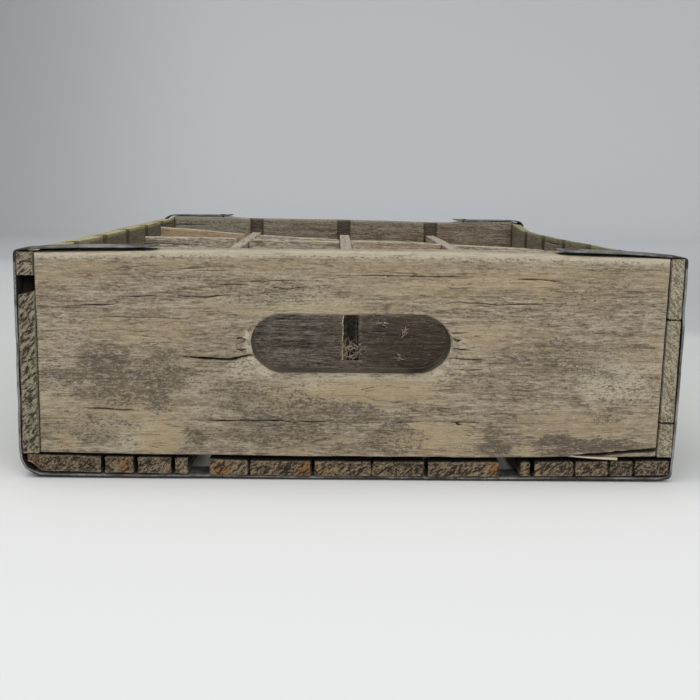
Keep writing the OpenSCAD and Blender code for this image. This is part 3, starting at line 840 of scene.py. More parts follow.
def back_stains(a, b, side):
    """Damp stains and painted shade in and beside the grooves, and grey-green algae along the top and inside
    the left cell.
    """
    mildew_and_shade = np.maximum(damp_and_shade_beside(a, LONG_ROWS) * 1.3 * side, 0.2 + 0.4 * layered(a / 22, b / 14, 0, 51))
    green = ease((-78 - a) / 5) * 0.75 * side + ease((b - 103.5) / 2) * 0.8
    return np.stack([mildew_and_shade, 0.25 * (1 - side) + 0 * a, green])


def straight_topped(a, b, c):
    """The top runs through the given heights, highest under the left tab; the foot is lifted at its ends."""
    top = through(a, BACK_TOP) - 0.25 * ripple(a / 19, 0, 0, 52)
    bottom = 10.8 + 1.5 * np.abs(a / HALF_INNER_WIDTH) ** 2
    return a, bottom + (b - FLOOR_Z) * (top - bottom) / (RIM_Z - FLOOR_Z), c


back_board = board(
    "back_end_board_wood", back_wood, end_a, end_b, END_THICK, 2, ((1, 0, 0), (0, 0, 1), (0, -1, 0)),
    (0, HALF_LENGTH, 0), (-130, 90), shape=straight_topped, stains=back_stains, worn=1.2, levels=9,
    openings=[HANDHOLD], groove=grooves(LONG_ROWS),
    cracks=[some_cracks(seed, (-140, 140), (FLOOR_Z, RIM_Z), count) for seed, count in ((21, 22), (22, 16))],
    dents=[(44, 53, 9, 3, 1.6, 0), (-20, 79, 22, 1.8, 0.8, 0)])
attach(back_board, "crate")
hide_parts("back_end_board")

# Side boards: a wide slat and a narrow strip on each side, 8.5 mm thick, nailed to the end boards' ends.
# Five grooves inside take the cross dividers. On the left a torn tongue of the slat closes the gap behind
# the strap. The right side leans in at the bottom of its front end and sags a little in its length.

SIDE_THICK = 8.5
HALF_WIDTH = 152.5
LEFT_SLAT_TOP, LEFT_STRIP_FOOT = 87.0, 94.0
RIGHT_STRIP_TOP, RIGHT_SLAT_FOOT = 29.5, 30.1
RIGHT_RIM = [(-235, 2.2), (-220, 2.3), (-200, 3.4), (-123, 4.6), (-68, 5.4), (26, 6.9), (105, 7.6),
             (171, 7.5), (212, 4.8), (229, 3.1), (235, 2.8)]
left_side_wood = wood(
    "left_side_wood", 2.2, (0.33, 0.29, 0.2), (0.19, 0.157, 0.105), (0.085, 0.068, 0.043), (0.17, 0.13, 0.08),
    (0.045, 0.037, 0.026), (0.33, 0.29, 0.205), (0.03, 0.022, 0.013), (0.5, 0.455, 0.23))
right_side_wood = wood(
    "right_side_wood", 1.5, (0.38, 0.34, 0.25), (0.22, 0.185, 0.125), (0.11, 0.088, 0.058),
    (0.19, 0.15, 0.09), (0.055, 0.045, 0.032), (0.46, 0.41, 0.30), (0.18, 0.15, 0.1), (0.36, 0.335, 0.175))


def near_front(a):
    """0 behind the front 85 mm of the crate, rising smoothly to 1 at 25 mm from its front end."""
    return ease((-150 - a) / 60)


def left_slat_shape(a, b, c):
    """The top slopes outwards, with the tongue behind the front strap; the foot is off the bottom slats."""
    up = (b - FLOOR_Z) / (LEFT_SLAT_TOP - FLOOR_Z)
    slope = 2.2 * (1 - c / SIDE_THICK)
    tongue = ease((a + 226.5) / 2.5) * ease((-165 - a) / 45) * (1 + 0.12 * layered(a / 7, 0, 0, 60))
    top = 1.0 - slope + tongue * (6.2 + slope) + 0.35 * layered(a / 15, 0, 0, 62)
    lift = 2.2 + 0.3 * layered(a / 40, 0, 0, 61)
    return a, b + (1 - up) * lift + ease((up - 0.8) / 0.2) * np.minimum(top, 7.3), c


def left_strip_shape(a, b, c):
    """The top lies 2 mm under the rim and is cut at the back corner, and the front end leans out.

    The foot hangs lower behind the middle.
    """
    up = (b - LEFT_STRIP_FOOT) / (RIM_Z - LEFT_STRIP_FOOT)
    out = near_front(a) * (0.35 + 0.3 * up * c / SIDE_THICK)
    cut = ease((a - 205) / 20) * (1.3 - 3.2 * (1 - c / SIDE_THICK) ** 1.5)
    top = -2.1 - 0.35 * layered(a / 35, 0, 0, 63) + cut
    foot = 0.7 + 0.2 * layered(a / 12, c / 5, 0, 70) - 2.2 * bell((a - 65) / 45)
    return a, b + up * top + (1 - up) * foot, c - out


def leaning(a, b, c):
    """Near its front end the right side is thinner, leans out at the top, and its foot stands further in."""
    up = (b - FLOOR_Z) / (RIM_Z - FLOOR_Z)
    outer, inner = 1.3 * (1 - up) - 0.35 * up, 8.8 - 2.4 * up
    return c + near_front(a) * (outer + c * (inner - outer) / SIDE_THICK - c)


def right_slat_shape(a, b, c):
    """The worn top slopes outwards and sags through the given depths; the foot follows the fine joint."""
    up = (b - RIGHT_SLAT_FOOT) / (RIM_Z - RIGHT_SLAT_FOOT)
    sag = through(a, RIGHT_RIM) + 0.35 * layered(a / 30, 0, 0, 64)
    sag = sag + 1.5 * (0.5 - c / SIDE_THICK) * ease((a + 230) / 60)
    return a, b - ease((up - 0.3) / 0.7) * sag - (1 - up) * 1.2, leaning(a, b, c)


def right_strip_shape(a, b, c):
    """The foot is lifted off the bottom slats, and the top follows the fine joint."""
    up = (b - FLOOR_Z) / (RIGHT_STRIP_TOP - FLOOR_Z)
    return a, b + (1 - up) * 2.7 - up * 1.2, leaning(a, b, c)


def right_stains(a, b, side):
    """Thin mildew, thick in and beside the grooves, where it is also painted shade, and green algae along the
    rim behind the front end.
    """
    thin = 0.35 + 0.35 * layered(a / 30, b / 16, side, 65)
    mildew_and_shade = np.maximum(damp_and_shade_beside(a, CROSS_ROWS) * 1.5 * side, thin)
    return np.stack([mildew_and_shade, 0.2 + 0 * a, ease((b - 104.5) / 1.5) * 1.3 * ease((a + 232) / 4)])


def left_stains(a, b, side):
    """As on the right, with painted shade, near black, on both edges of the gap behind the front strap."""
    mildew_and_shade, bare_and_shade, tint = right_stains(a, b, side)
    edges = np.maximum(ease((b - 79.5) / 3) * (b < 90), ease((94.9 - b) / 0.6) * (b > 90))
    # Painted shade on both edges of the gap behind the front strap.
    painted_shade = 2.3 * edges * ease((-170 - a) / 40) * ease((a + 232.5) / 1.5)
    return np.stack([np.maximum(mildew_and_shade, painted_shade), bare_and_shade, tint])


side_a = lines(with_edges(-HALF_LENGTH, HALF_LENGTH, 2.8), creases=beside_rows(CROSS_ROWS, GROOVE_WIDTH / 2))
for name, side, low, high, seed, pith, shape, split_at in (
    ("left_side_slat", -1, FLOOR_Z, LEFT_SLAT_TOP, 3, (35, 46), left_slat_shape, ()),
    ("left_top_strip", -1, LEFT_STRIP_FOOT, RIM_Z, 4, (60, 40), left_strip_shape, ()),
    ("right_side_slat", 1, RIGHT_SLAT_FOOT, RIM_Z, 5, (190, 60), right_slat_shape, (78.5,)),
    ("right_bottom_strip", 1, FLOOR_Z, RIGHT_STRIP_TOP, 6, (150, 50), right_strip_shape, ()),
):
    tall = high - low > 30
    split = end_cracks(90 + seed, -HALF_LENGTH, 1, split_at, 0.36, 2.0)
    piece = board(
        name + "_wood", left_side_wood if side < 0 else right_side_wood, side_a,
        lines(with_edges(low, high, 0.8 if tall else 0.6), marks=split_at), SIDE_THICK, seed,
        ((0, 1, 0), (0, 0, 1), (-side, 0, 0)), (side * HALF_WIDTH, 0, 0), pith, shape=shape,
        stains=left_stains if side < 0 else right_stains, worn=0.6, levels=12, groove=grooves(CROSS_ROWS),
        cracks=(some_cracks(70 + seed, (-225, 225), (low, high), 16 if tall else 3, 110) + split,
                some_cracks(80 + seed, (-225, 225), (low, high), 8 if tall else 2, 90) + split), relief=0.3)
    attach(piece, "crate")
    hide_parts(name)

# Bottom slats: six rough boards of uneven width, nailed up into the end boards.
# Their ends show under the front board, dark and split, with orange, freshly broken corners.

BOTTOM_THICK = 8.5
UNDERSIDE_Z = 1.0
SLATS = [(-152, -100.9), (-98.9, -75.5), (-65.5, -18.4), (-16.4, 34.7), (36.7, 70), (80, 152)]
OPEN_SPLITS = {0: (-115, 0.95), 1: (-82.4, 0.9), 5: (85.7, 1.0)}
SPLIT_LENGTH, SPLIT_TIP = 75, 0.08
FINE_SPLITS = [(), (), (-47,), (10.4,), (), (105.6, 122, 133.5)]
BROKEN_CORNERS = [(-104.5, 4, 1.1, 0.9), (-60.5, 8, 1.2, 0.1), (-21, 6, 1.2, 0.9), (-12, 5, 0.5, 0.1),
                  (67.8, 3.5, 1.2, 1.1), (-147, 6, 0.6, 0.3)]
bottom_wood = wood(
    "bottom_slat_wood", 1.7, (0.3, 0.25, 0.18), (0.165, 0.13, 0.085), (0.07, 0.052, 0.034),
    (0.27, 0.125, 0.035), (0.03, 0.023, 0.016), (0.245, 0.183, 0.113), (0.02, 0.014, 0.008),
    (0.2, 0.19, 0.12))


def bellied(x):
    """How far the crate's underside rises from its middle towards its sides: 1.6 mm times the square."""
    return 1.6 * (x / HALF_WIDTH) ** 2


def slat_stains(a, b, side):
    """Damp mildew, most under the outer slats, painted shade along the top face under the front board, and
    broken front corners.

    Each broken corner is its middle, half width, and strength on the under and the upper side.
    """
    bare_and_shade = 0 * a
    for middle, half, under, upper in BROKEN_CORNERS:
        corner = ease((half - np.abs(b - middle)) / half) * ease((-233.4 - a) / 1.2)
        bare_and_shade = np.maximum(bare_and_shade, (upper if side else under) * corner)
    mildew_and_shade = 0.35 + 0.3 * layered(a / 30, b / 14, side, 66) + 0.25 * ease((np.abs(b - 10) - 75) / 15)
    # Painted shade along the top face's front end, under the front board.
    painted_shade = side * ease((-216 - a) / 3) * ease((a + 234.9) / 0.6) * (2.0 + 0.4 * layered(b / 7, 0, 0, 67))
    return np.stack([mildew_and_shade + painted_shade, bare_and_shade, 0 * a])


slat_a = lines(with_edges(-HALF_LENGTH, HALF_LENGTH, 3.4))
for n, (low, high) in enumerate(SLATS):
    split = OPEN_SPLITS.get(n)

    def slat_shape(a, b, c, split=split):
        """Follows the crate's belly, tapers an open split to nothing, and trims the outer corners.

        Two slats lean together behind their front ends, so that no light comes up between them. Near their
        front ends the slats lie a little off the strap, and the left ones reach closer to the end board.
        """
        if split:
            place, half = split
            open_ = SPLIT_TIP + (half - SPLIT_TIP) * np.clip(1 - (a + HALF_LENGTH) / SPLIT_LENGTH, 0, 1)
            off = np.abs(b - place)
            moved = place + np.sign(b - place) * (open_ + (off - half) * (5 - open_) / (5 - half))
            b = np.where(off < 5, moved, b)
        front = near_front(a)
        corner = 4.6 * ease((-142.5 - b) / 9.5) * (1 - c / BOTTOM_THICK)
        trimmed = (2.0 * ease((b - 140) / 12) - 1.9 * ease((-140 - b) / 12)) * front
        closing = 0.95 * ease((a + 234) / 4) * bell((np.abs(b + 17.4) - 1) / 4) * np.sign(-17.4 - b)
        raised = (0.6 * (1 - c / BOTTOM_THICK) + 0.8 * ease((-45 - b) / 30) * c / BOTTOM_THICK) * front
        return a, b - trimmed + closing, c + bellied(b) + corner + raised

    marks = [*FINE_SPLITS[n]] + ([split[0] - split[1], split[0] + split[1]] if split else [])
    splits = [one for at in FINE_SPLITS[n] for one in end_cracks(110 + n, -HALF_LENGTH, 1, [at], 0.28, 3)]
    splits += end_cracks(120 + n, HALF_LENGTH, -1, [low + (high - low) * 0.4], 0.25, 3)
    piece = board(
        f"bottom_slat_{n + 1}_wood", bottom_wood, slat_a, lines(with_edges(low, high, 0.85), marks=marks),
        BOTTOM_THICK, 10 + n, ((0, 1, 0), (1, 0, 0), (0, 0, 1)), (0, 0, UNDERSIDE_Z),
        (low + 15 + 11 * (n % 3), -38 - 7 * (n % 2)), shape=slat_shape, stains=slat_stains, worn=0.35,
        levels=12, openings=[(-HALF_LENGTH, split[0], SPLIT_LENGTH, split[1], 0)] if split else [],
        cracks=[some_cracks(seed + n, (-225, 225), (low, high), 5, 120) + splits for seed in (130, 140)],
        relief=0.4)
    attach(piece, "crate")
    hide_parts(f"bottom_slat_{n + 1}")

# Cross dividers: five rough-sawn boards, 8 mm thick, that stand loose in the grooves of the sides.
# Each is notched from above for the long dividers. The last two sit askew, so their tops slope.

DIVIDER_THICK = 8.0
CROSS_TOP = 97.5
NOTCH_FLOOR, NOTCH_HALF = 43.5, 4.4
CROSS_TOPS = [
    [(-146, 97.4), (0, 97.2), (146, 97.3)], [(-146, 96.4), (0, 96.8), (146, 96.0)],
    [(-146, 93.7), (0, 94.2), (146, 94.4)],
    [(-146, 97.5), (-77, 96.9), (-63, 96.3), (-7, 95.4), (29, 95.6), (56, 95.0), (76, 93.7), (110, 92.7),
     (137, 91.0), (146, 90.6)],
    [(-146, 101.3), (-113, 99.1), (-83, 96.5), (-65, 95.4), (0, 92.4), (32, 92.1), (62, 91.0), (106, 88.6),
     (146, 87.6)]]
divider_wood = wood(
    "divider_wood", 2.6, (0.58, 0.52, 0.43), (0.35, 0.295, 0.225), (0.15, 0.117, 0.083), (0.36, 0.24, 0.13),
    (0.03, 0.024, 0.018), (0.25, 0.2, 0.14), (0.06, 0.046, 0.03), (0.45, 0.43, 0.14))
# The first divider, seen through the handhold, has a darker copy of the divider wood: painted shade.
first_divider_wood = wood(
    "first_divider_wood", 2.6, (0.46, 0.415, 0.35), (0.235, 0.205, 0.165), (0.085, 0.071, 0.056),
    (0.13, 0.105, 0.075), (0.045, 0.037, 0.03), (0.2, 0.16, 0.11), (0.05, 0.04, 0.03), (0.2, 0.2, 0.15))


def divider_heights(b, worn_top, full_top, belly):
    """The upper half is drawn to the worn top, and the foot is lifted clear of the crate's belly."""
    up = (b - FLOOR_Z) / (full_top - FLOOR_Z)
    lift = (1 - np.minimum(up * 3, 1)) * (belly + 0.3)
    return b + ease((up - 0.45) / 0.55) * (worn_top - full_top) + lift


def divider_stains(a, b, side):
    """Thin mildew, less towards the rubbed top, and a little bare wood."""
    mildew_and_shade = (0.2 + 0.35 * layered(a / 24, b / 12, side, 68)) * ease((96 - b) / 20)
    return np.stack([mildew_and_shade, 0.1 + 0.3 * layered(a / 40, b / 20, side, 69), 0 * a])


cross_a = lines(with_edges(-146.5, 146.5, 2.2), marks=beside_rows(LONG_ROWS, NOTCH_HALF))
cross_b = lines(with_edges(FLOOR_Z, CROSS_TOP, 0.85), marks=[NOTCH_FLOOR])
for n, tops in enumerate(CROSS_TOPS):

    def tilted(a, b, c, tops=tops, n=n):
        """The top runs through the given heights; the first one's middle notch stands 1.3 mm to the right."""
        top = through(a, tops) - 0.4 * ripple(a / 20, n, 0, 71)
        aside = 1.3 * bell(a / 25) * (n == 0)
        return (a + aside, divider_heights(b, top, CROSS_TOP, bellied(a)),
                c + 0.2 * (1 + layered(a / 60, b / 50, 0, 72 + n)))

    def cross_stains(a, b, side, n=n):
        """As on every divider; the last is warm brown on the left, and the first is painted darker brown on
        the right, as painted shade.

        The fourth has a spot of yellow lichen.
        """
        mildew_and_shade, bare_and_shade, tint = divider_stains(a, b, side)
        if n == 4:
            bare_and_shade = bare_and_shade + 0.9 * ease((-60 - a) / 20)
        if n == 3:
            tint = 0.9 * ease((4.5 - np.abs(a + 22)) / 3) * ease((b - 94) / 2)
        if n == 0:
            # Painted shade: the first divider's right side is darkened.
            bare_and_shade = 0.9 * ease((a + 10) / 30)
        return np.stack([mildew_and_shade, bare_and_shade, tint])

    piece = board(
        f"cross_divider_{n + 1}_wood", first_divider_wood if n == 0 else divider_wood, cross_a, cross_b,
        DIVIDER_THICK, 20 + n, ((1, 0, 0), (0, 0, 1), (0, 1, 0)), (0, (n - 2) * PITCH - DIVIDER_THICK / 2, 0),
        (40 + 30 * n, -35), shape=tilted, stains=cross_stains, worn=0.9, levels=7,
        openings=[(row * PITCH, NOTCH_FLOOR + 60, NOTCH_HALF, 60, 0) for row in LONG_ROWS],
        cracks=[some_cracks(seed + n, (-140, 140), (FLOOR_Z, CROSS_TOP), 9, 70) for seed in (150, 160)],
        relief=0.25)
    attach(piece, "cross_dividers")
    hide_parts(f"cross_divider_{n + 1}")

# Splinters torn out of the first cross divider: pale hairs of wood in its middle notch,
# a row of them up the notch's left edge, and three loose tufts on its face. Their wood is a brightened copy
# of the split wood, painted light for hairs in shade, and the row up the edge is partly a painted highlight
# along it.

FACE_Y = -2 * PITCH - DIVIDER_THICK / 2
TUFTS = ((17.8, 63.5, 7), (30, 59.5, 10), (27.5, 45.6, 6))
HAIR_STEPS = 9
dice = np.random.default_rng(7)
hairs = []


def add_hair(start, heading, length, thick):
    """A thin tapering tube of wood that bends more and more away from its heading."""
    bend = dice.normal(0, 0.55, 3)
    path = [np.array(start, float)]
    way = np.array(heading, float) / np.linalg.norm(heading)
    for _ in range(HAIR_STEPS):
        way = way + bend * 0.22 + dice.normal(0, 0.12, 3)
        way /= np.linalg.norm(way)
        path.append(path[-1] + way * length / HAIR_STEPS)
    taper = thick * np.linspace(1, 0.25, len(path))
    hairs.append(swept(np.array(path), oval[::2], taper, taper, (0.31, 0.93, 0.2)))


for _ in range(60):
    start = (dice.uniform(-2.5, 5.4), FACE_Y + dice.uniform(0.2, 3), dice.uniform(43.5, 52))
    heading = (dice.normal(0, 0.8), -0.25, dice.uniform(0.2, 1.2))
    add_hair(start, heading, dice.uniform(3, 7), dice.uniform(0.1, 0.2))
for z in np.linspace(44, 78, 18):
    start = (-3.3 + dice.normal(0, 0.05), FACE_Y - 0.15, z)
    add_hair(start, (dice.normal(0, 0.05), -0.05, 1), 3.2, 0.42)
for x, z, count in TUFTS:
    for _ in range(count):
        heading = (dice.normal(0, 0.8), -0.35, dice.normal(0, 0.8))
        start = (x + dice.normal(0, 0.8), FACE_Y - 0.1, z + dice.normal(0, 0.8))
        add_hair(start, heading, dice.uniform(2.2, 4.2), dice.uniform(0.2, 0.34))
# A brightened copy of the split wood: painted light for splinters in shade.
torn_wood = wood(
    "torn_fibres", 3.0, (0.9, 0.8, 0.64), (0.8, 0.69, 0.52), (0.55, 0.45, 0.32), (0.8, 0.66, 0.45),
    (0.3, 0.24, 0.18), (0.4, 0.34, 0.25), (0.2, 0.16, 0.12), (0.8, 0.72, 0.58))
splinters = closed_piece("divider_splinters", torn_wood, hairs, splinter_values(hairs, 300))
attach(splinters, "cross_dividers")

# Long dividers: three boards, notched from below, that drop over the cross dividers.
# The outer two reach into the grooves of the end boards, and the middle one stops inside the first and
# last notches.

LONG_TOP = 95.0
NOTCH_ROOF = 44.0
long_b = lines(with_edges(FLOOR_Z, LONG_TOP, 0.9), marks=[NOTCH_ROOF])
for name, row, half, tops in (
    ("left", -1, 220.5, (95.0, 94.6, 94.6)),
    ("centre", 0, 148.0, (94.6, 94.4, 96.4)),
    ("right", 1, 220.5, (94.8, 94.2, 93.2)),
):

    def worn_top(a, b, c, row=row, half=half, tops=tops):
        """The top runs through three heights, and the centre one's front end leans to the right."""
        top = np.interp(a, [-half, 0, half], tops) - 0.4 * ripple(a / 20, row, 0, 74)
        lean = 1.3 * ease((-100 - a) / 40) * (row == 0)
        return a, divider_heights(b, top, LONG_TOP, bellied(row * PITCH)), c + lean

    def long_stains(a, b, side, half=half):
        """As on every divider, with the front end painted black as painted shade."""
        mildew_and_shade, bare_and_shade, tint = divider_stains(a, b, side)
        return np.stack([mildew_and_shade + 1.15 * ease((3 - half - a) / 2), bare_and_shade, tint])

    marks = [place for place in beside_rows(CROSS_ROWS, NOTCH_HALF) if abs(place) < half]
    piece = board(
        f"long_divider_{name}_wood", divider_wood, lines(with_edges(-half, half, 2.8), marks=marks), long_b,
        DIVIDER_THICK, 30 + row, ((0, 1, 0), (0, 0, 1), (1, 0, 0)), (row * PITCH - DIVIDER_THICK / 2, 0, 0),
        (30, -40 - 12 * row), shape=worn_top, stains=long_stains, worn=0.9, levels=7,
        openings=[(cross * PITCH, NOTCH_ROOF - 60, NOTCH_HALF, 60, 0) for cross in CROSS_ROWS],
        cracks=[some_cracks(seed + row, (-half, half), (FLOOR_Z, LONG_TOP), 9, 80) for seed in (170, 180)],
        relief=0.25)
    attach(piece, f"{name}_divider")
    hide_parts(f"long_divider_{name}")

# Straps: two bands of galvanised sheet steel, 16 mm wide and 1 mm thick, bent by hand round each end.
# Each folds over the end board's top in two tabs and runs down both sides and under the bottom.
# The zinc has gone dull, with dark stains and a few spots of rust, most of them round the nails. Its inner
# face, its underside under the crate and its top corners are painted dark, as painted shade.

# The band is drawn a little thicker than the sheet, because its edge has lifted off the wood.
STRAP_WIDE, STRAP_THICK, STRAP_Y = 16.0, 1.3, 226.5
STRAP_STEP = 0.9
LEFT_LEG = [(-153.42, 99), (-153.42, 86), (-153.42, 68), (-153.1, 61), (-153.42, 53), (-153.42, 42),
            (-153.1, 35), (-153.42, 28), (-153.45, 14), (-153.0, 8.8), (-150.8, 4.6), (-145.0, 1.6)]
RIGHT_LEG = [(151.0, 2.5), (151.7, 12), (152.0, 20), (152.4, 30), (152.9, 48), (153.0, 56), (153.4, 66),
             (153.5, 74), (153.0, 82), (153.5, 90), (153.5, 99)]
FOOT_X = np.array([-138, -124, -110, -95, -80, -65, -50, -35, -20, 10, 38, 60, 80, 100, 125, 146])
FOOT = list(zip(FOOT_X, 0.97 + 0.9 * ease((FOOT_X - 38) / 150) + 0.3 * ease((-25 - FOOT_X) / 60)
                + 0.12 * np.sin(FOOT_X / 13)))
TABS = {
    "front": ([(-89.2, 108.65), (-94, 108.4), (-103, 108.1), (-125, 107.95), (-140, 107.4), (-150, 106.55),
               (-153.4, 105.8)],
              [(153.5, 105.2), (150, 105.8), (140, 106.65), (125, 107.5), (108, 107.95), (99, 108.1),
               (94.8, 108.6)]),
    "back": ([(-95, 108.65), (-99, 108.2), (-120, 108.05), (-140, 108.1), (-146.8, 107.9), (-150.6, 106.1),
              (-153.42, 103.5)],
             [(153.5, 102.5), (150.8, 105.4), (146, 106.2), (125, 106.3), (106, 106.2), (98, 106.4),
              (94, 107.0)])}
NAIL_MARKS = ((-98, 108), (102.5, 108), (-153, 35), (-153, 61), (153, 56), (153, 82), (-126, 0), (9, 0),
              (116, 0))

# The rust colour and mix also paint the straps' shaded faces: the attribute goes past 1 where painted shade
# is laid on.
steel_group, of, there = new_group(
    "aged_steel", {"Place": "Vector", "Zinc": "Color", "Dull": "Color", "Rust_And_Shade": "Color", "Rusted_And_Shaded": "Float"},
    {"Color": "Color", "Roughness": "Float", "Metallic": "Float", "Height": "Float"})
cloud, spots, scratches = (
    wire(steel_group, "ShaderNodeTexNoise", {
        "Vector": of["Place"], "Scale": scale, "Detail": detail, "Roughness": roughness}).outputs["Fac"]
    for scale, detail, roughness in ((90.0, 4.0, 0.6), (600.0, 4.0, 0.65), (1800.0, 2.0, 0.5)))
rusty_and_shaded = between(times(spots, 0.55, times(of["Rusted_And_Shaded"], 0.5)), 0.42, 0.62)
zinc = tinted(between(times(spots, 0.4, cloud), 0.56, 0.84), of["Dull"], of["Zinc"])
put_out(there, {
    "Color": tinted(rusty_and_shaded, zinc, of["Rust_And_Shade"]),
    "Roughness": times(rusty_and_shaded, 0.2, times(spots, 0.35, 0.44), clamp=True),
    "Metallic": times(rusty_and_shaded, -0.5, 0.55, clamp=True),
    "Height": times(spots, 0.6, times(scratches, 0.3, rusty_and_shaded))})


def steel(name, zinc, dull, rust_and_shade):
    """Old steel from the group, with its own three colours; the attribute read by the group says where it
    rusts and, on the straps, where it is painted dark as painted shade.
    """
    material, tree, shader = plain_material(name)
    aged = wire(tree, "ShaderNodeGroup", {
        "Place": wire(tree, "ShaderNodeTexCoord").outputs["Object"],
        "Rusted_And_Shaded": wire(tree, "ShaderNodeAttribute", attribute_name="rusted_and_shaded").outputs["Fac"],
        "Zinc": (*zinc, 1), "Dull": (*dull, 1), "Rust_And_Shade": (*rust_and_shade, 1)}, node_tree=steel_group)
    relief = wire(tree, "ShaderNodeBump", {
        "Height": aged.outputs["Height"], "Strength": 0.5, "Distance": 0.0003}).outputs[0]
    for socket, key in ((aged.outputs["Color"], "Base Color"), (aged.outputs["Roughness"], "Roughness"),
                        (aged.outputs["Metallic"], "Metallic"), (relief, "Normal")):
        tree.links.new(socket, shader.inputs[key])
    return material


def strap_ring():
    """A flat band's outline from -1 to 1: two straight faces, and half ellipses over the last 0.06 aside."""
    flat = np.stack([np.linspace(-0.94, 0.94, 13), -np.ones(13)], 1)
    turn = np.linspace(0, np.pi, 5)[1:-1]
    edge = np.stack([0.94 + 0.06 * np.sin(turn), -np.cos(turn)], 1)
    return np.concatenate([flat, edge, -flat, -edge])


def strap_rust_and_shade(points, face, side):
    """Where the strap rusts: in clouds, round its nails, and more at its top corners, where the dark is also
    painted shade dimming a glint.

    face is 1 on the outer face, -1 on the inner one and 0 midway along the edge. The inner face is painted
    near black as painted shade. Under the crate the outer face is painted near black instead, and a little
    more along its edge, as painted shade.
    """
    x, y, z = points.T
    near_nail = np.zeros(len(points))
    for nail_x, nail_z in NAIL_MARKS:
        away = np.linalg.norm(points - (nail_x, side * STRAP_Y, nail_z), axis=1)
        near_nail = np.maximum(near_nail, ease(1.6 - away / 5))
    rusted_and_shaded = np.clip(0.28 + 0.45 * layered(x / 20, y / 20, z / 20, 85) + 0.4 * near_nail, 0, 1.3)
    # Top corners darker: rust and painted shade that dims their glint.
    rusted_and_shaded = rusted_and_shaded + 0.9 * ease((np.abs(x) - 146) / 3) * ease((z - 100) / 3)
    foot = z < 3.4
    # Painted shade: the inner face, and under the crate the outer face, are set near black.
    shaded_face = np.where(foot, face > 0.3, face < -0.8)
    return np.where(shaded_face, 1.6, rusted_and_shaded + 0.3 * (foot & (np.abs(face) < 0.3)))


# The strap's rust colour is near black because it also paints the strap's shaded faces.
strap_metal = steel("strap_metal", (0.27, 0.27, 0.262), (0.1, 0.099, 0.09), (0.022, 0.018, 0.014))
ring = strap_ring()
straps = {}
for name, side in (("front", -1), ("back", 1)):
    left_tab, right_tab = TABS[name]
    corners = left_tab + LEFT_LEG + FOOT + RIGHT_LEG + right_tab
    path = smooth_path([(x, 0, z) for x, z in corners], STRAP_STEP, 1.3)
    path[:, 1] = side * STRAP_Y + 0.25 * layered(np.arange(len(path)) / 36, 0, 0, 82 + side)
    straps[name] = path
    run = np.arange(len(path)) * STRAP_STEP
    from_tip = np.minimum(run, run[::-1])
    round_tip = np.sqrt(np.clip(1 - (1 - np.clip((from_tip + 0.5) / 5.5, 0, 1)) ** 2, 0.02, 1))
    wide = STRAP_WIDE / 2 * (1 + 0.015 * layered(run / 9, 0, 0, 84)) * round_tip
    thick = STRAP_THICK / 2 * np.clip(0.5 + from_tip / 3, 0.5, 1)
    thick = thick * (1 - 0.23 * ease((path[:, 2] - 104) / 2) + 0.23 * ease((4 - path[:, 2]) / 2))
    band = swept(path, ring, np.minimum(wide, 8.1), thick, (0, 1, 0))
    face = -np.concatenate([np.tile(ring[:, 1], len(path)), [0, 0]])
    rusted_and_shaded = strap_rust_and_shade(band[0], face, side)
    strap = closed_piece(f"{name}_strap_band", strap_metal, [band], {"rusted_and_shaded": rusted_and_shaded})
    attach(strap, "crate")
    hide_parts(f"{name}_strap")

# Nails: round wire nails, 2 mm thick, with flat heads beaten slightly domed; all are brown with rust.
# Those through the straps stand on them, flush under the foot; the sides' and the bottom's lie under the
# straps.

NAIL_SIDES = 20
PROUD_HEAD = [(0.01, 0.02), (1.1, 0.06), (1.9, 0.16), (2.35, 0.3), (2.5, 0.48), (2.4, 0.68), (1.15, 0.72),
              (1.0, 1.2)]
SUNK_HEAD = [(0.01, 0.1), (1.4, 0.08), (2.3, 0.12), (2.35, 0.3), (1.05, 0.95), (1.0, 2)]
HEAD_OVER = 1.08
nail_metal = steel("nail_metal", (0.3, 0.29, 0.28), (0.13, 0.115, 0.1), (0.075, 0.042, 0.026))


def nail_shell(head, inward, length, sunk=False):
    """A nail turned about its own line: the radius at each depth, from a low dome to the point."""
    shank = [(1.0, length / 2), (1.0, length - 2.5), (0.5, length - 0.7), (0.05, length)]
    radius, depth = np.array((SUNK_HEAD if sunk else PROUD_HEAD) + shank).T
    inward = np.array(inward, float)
    sideways = np.cross(inward, (0.3, 0.5, 0.81) if abs(inward[2]) < 0.9 else (1.0, 0, 0))
    path = np.array(head, float) + depth[:, None] * inward
    turn = np.linspace(0, 2 * np.pi, NAIL_SIDES, endpoint=False)
    uneven = 1 + 0.05 * layered(turn * 1.3, head[0], head[2], 91)
    return swept(path, round_ring(NAIL_SIDES) * uneven[:, None], radius, radius, sideways)


def spread(low, high, sixths):
    """Heights between low and high, given in sixths of the way up."""
    return [low + (high - low) * k / 6 for k in sixths]


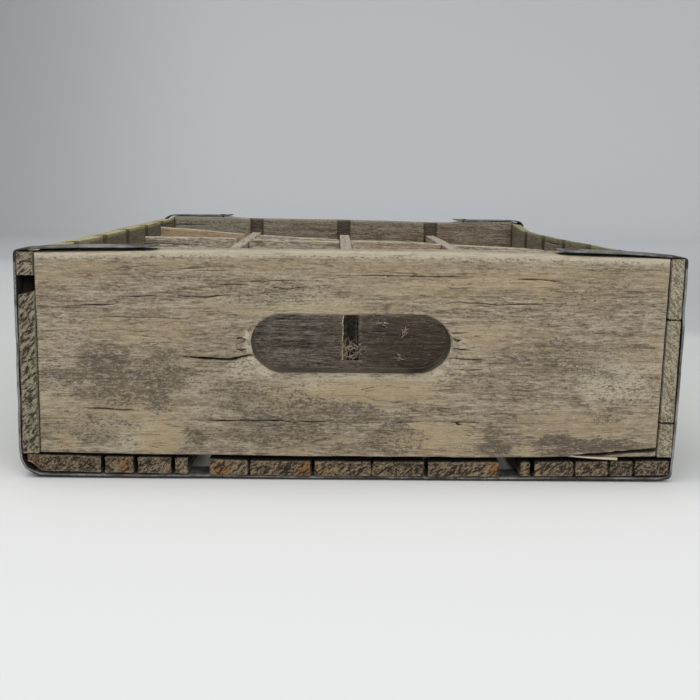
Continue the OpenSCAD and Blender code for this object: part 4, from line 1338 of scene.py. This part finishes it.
def on_strap(name, x, z):
    """The point on a strap's middle line that is nearest to a place."""
    path = straps[name]
    return path[np.argmin(np.hypot(path[:, 0] - x, path[:, 2] - z))]


slat_heights = {-1: (FLOOR_Z, LEFT_SLAT_TOP), 1: (RIGHT_SLAT_FOOT, RIM_Z)}
strip_heights = {-1: (LEFT_STRIP_FOOT, RIM_Z), 1: (FLOOR_Z, RIGHT_STRIP_TOP)}
across_slats = [low + (high - low) * quarter / 4 for low, high in SLATS
                for quarter in ((1, 3) if high - low > 40 else (2,))]
nails = {
    "side_slat_nails": [
        nail_shell((side * HALF_WIDTH, end * 230, z), (-side, 0, 0), 30)
        for end in (-1, 1) for side in (-1, 1)
        for z in spread(*slat_heights[side], (1, 3, 5)) + spread(*strip_heights[side], (3,))],
    "bottom_slat_nails": [
        nail_shell((x, end * 223, UNDERSIDE_Z + bellied(x)), (0, 0, 1), 28.5)
        for end in (-1, 1) for x in across_slats]}
for name, end, tabs in (("front", -1, (64, 59)), ("back", 1, (58, 58))):
    y = end * STRAP_Y
    in_strap = []
    for side in (-1, 1):
        for z in spread(*slat_heights[side], (2, 4)):
            outer = min(side * on_strap(name, side * 153, z)[0] + HEAD_OVER, 154.2)
            in_strap.append(nail_shell((side * outer, y, z), (-side, 0, 0), 22))
    for side, tab in zip((-1, 1), tabs):
        x = side * (153.5 - tab + 8)
        top = min(on_strap(name, x, 108)[2] + HEAD_OVER, 109.2)
        in_strap.append(nail_shell((x, y, top), (0, 0, -1), 22))
    for low, high in (SLATS[0], SLATS[3], SLATS[5]):
        x = (low + high) / 2
        in_strap.append(nail_shell((x, y, on_strap(name, x, 0)[2] - 0.5), (0, 0, 1), 22, sunk=True))
    nails[f"{name}_strap_nails"] = in_strap
for name, shells in nails.items():
    x, y, z = np.concatenate([shell[0] for shell in shells]).T / 4
    rusted_and_shaded = 0.75 + 0.4 * layered(x, y, z, 92)
    piece = closed_piece(name + "_driven", nail_metal, shells, {"rusted_and_shaded": rusted_and_shaded}, 50)
    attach(piece, "crate")
    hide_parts(name)
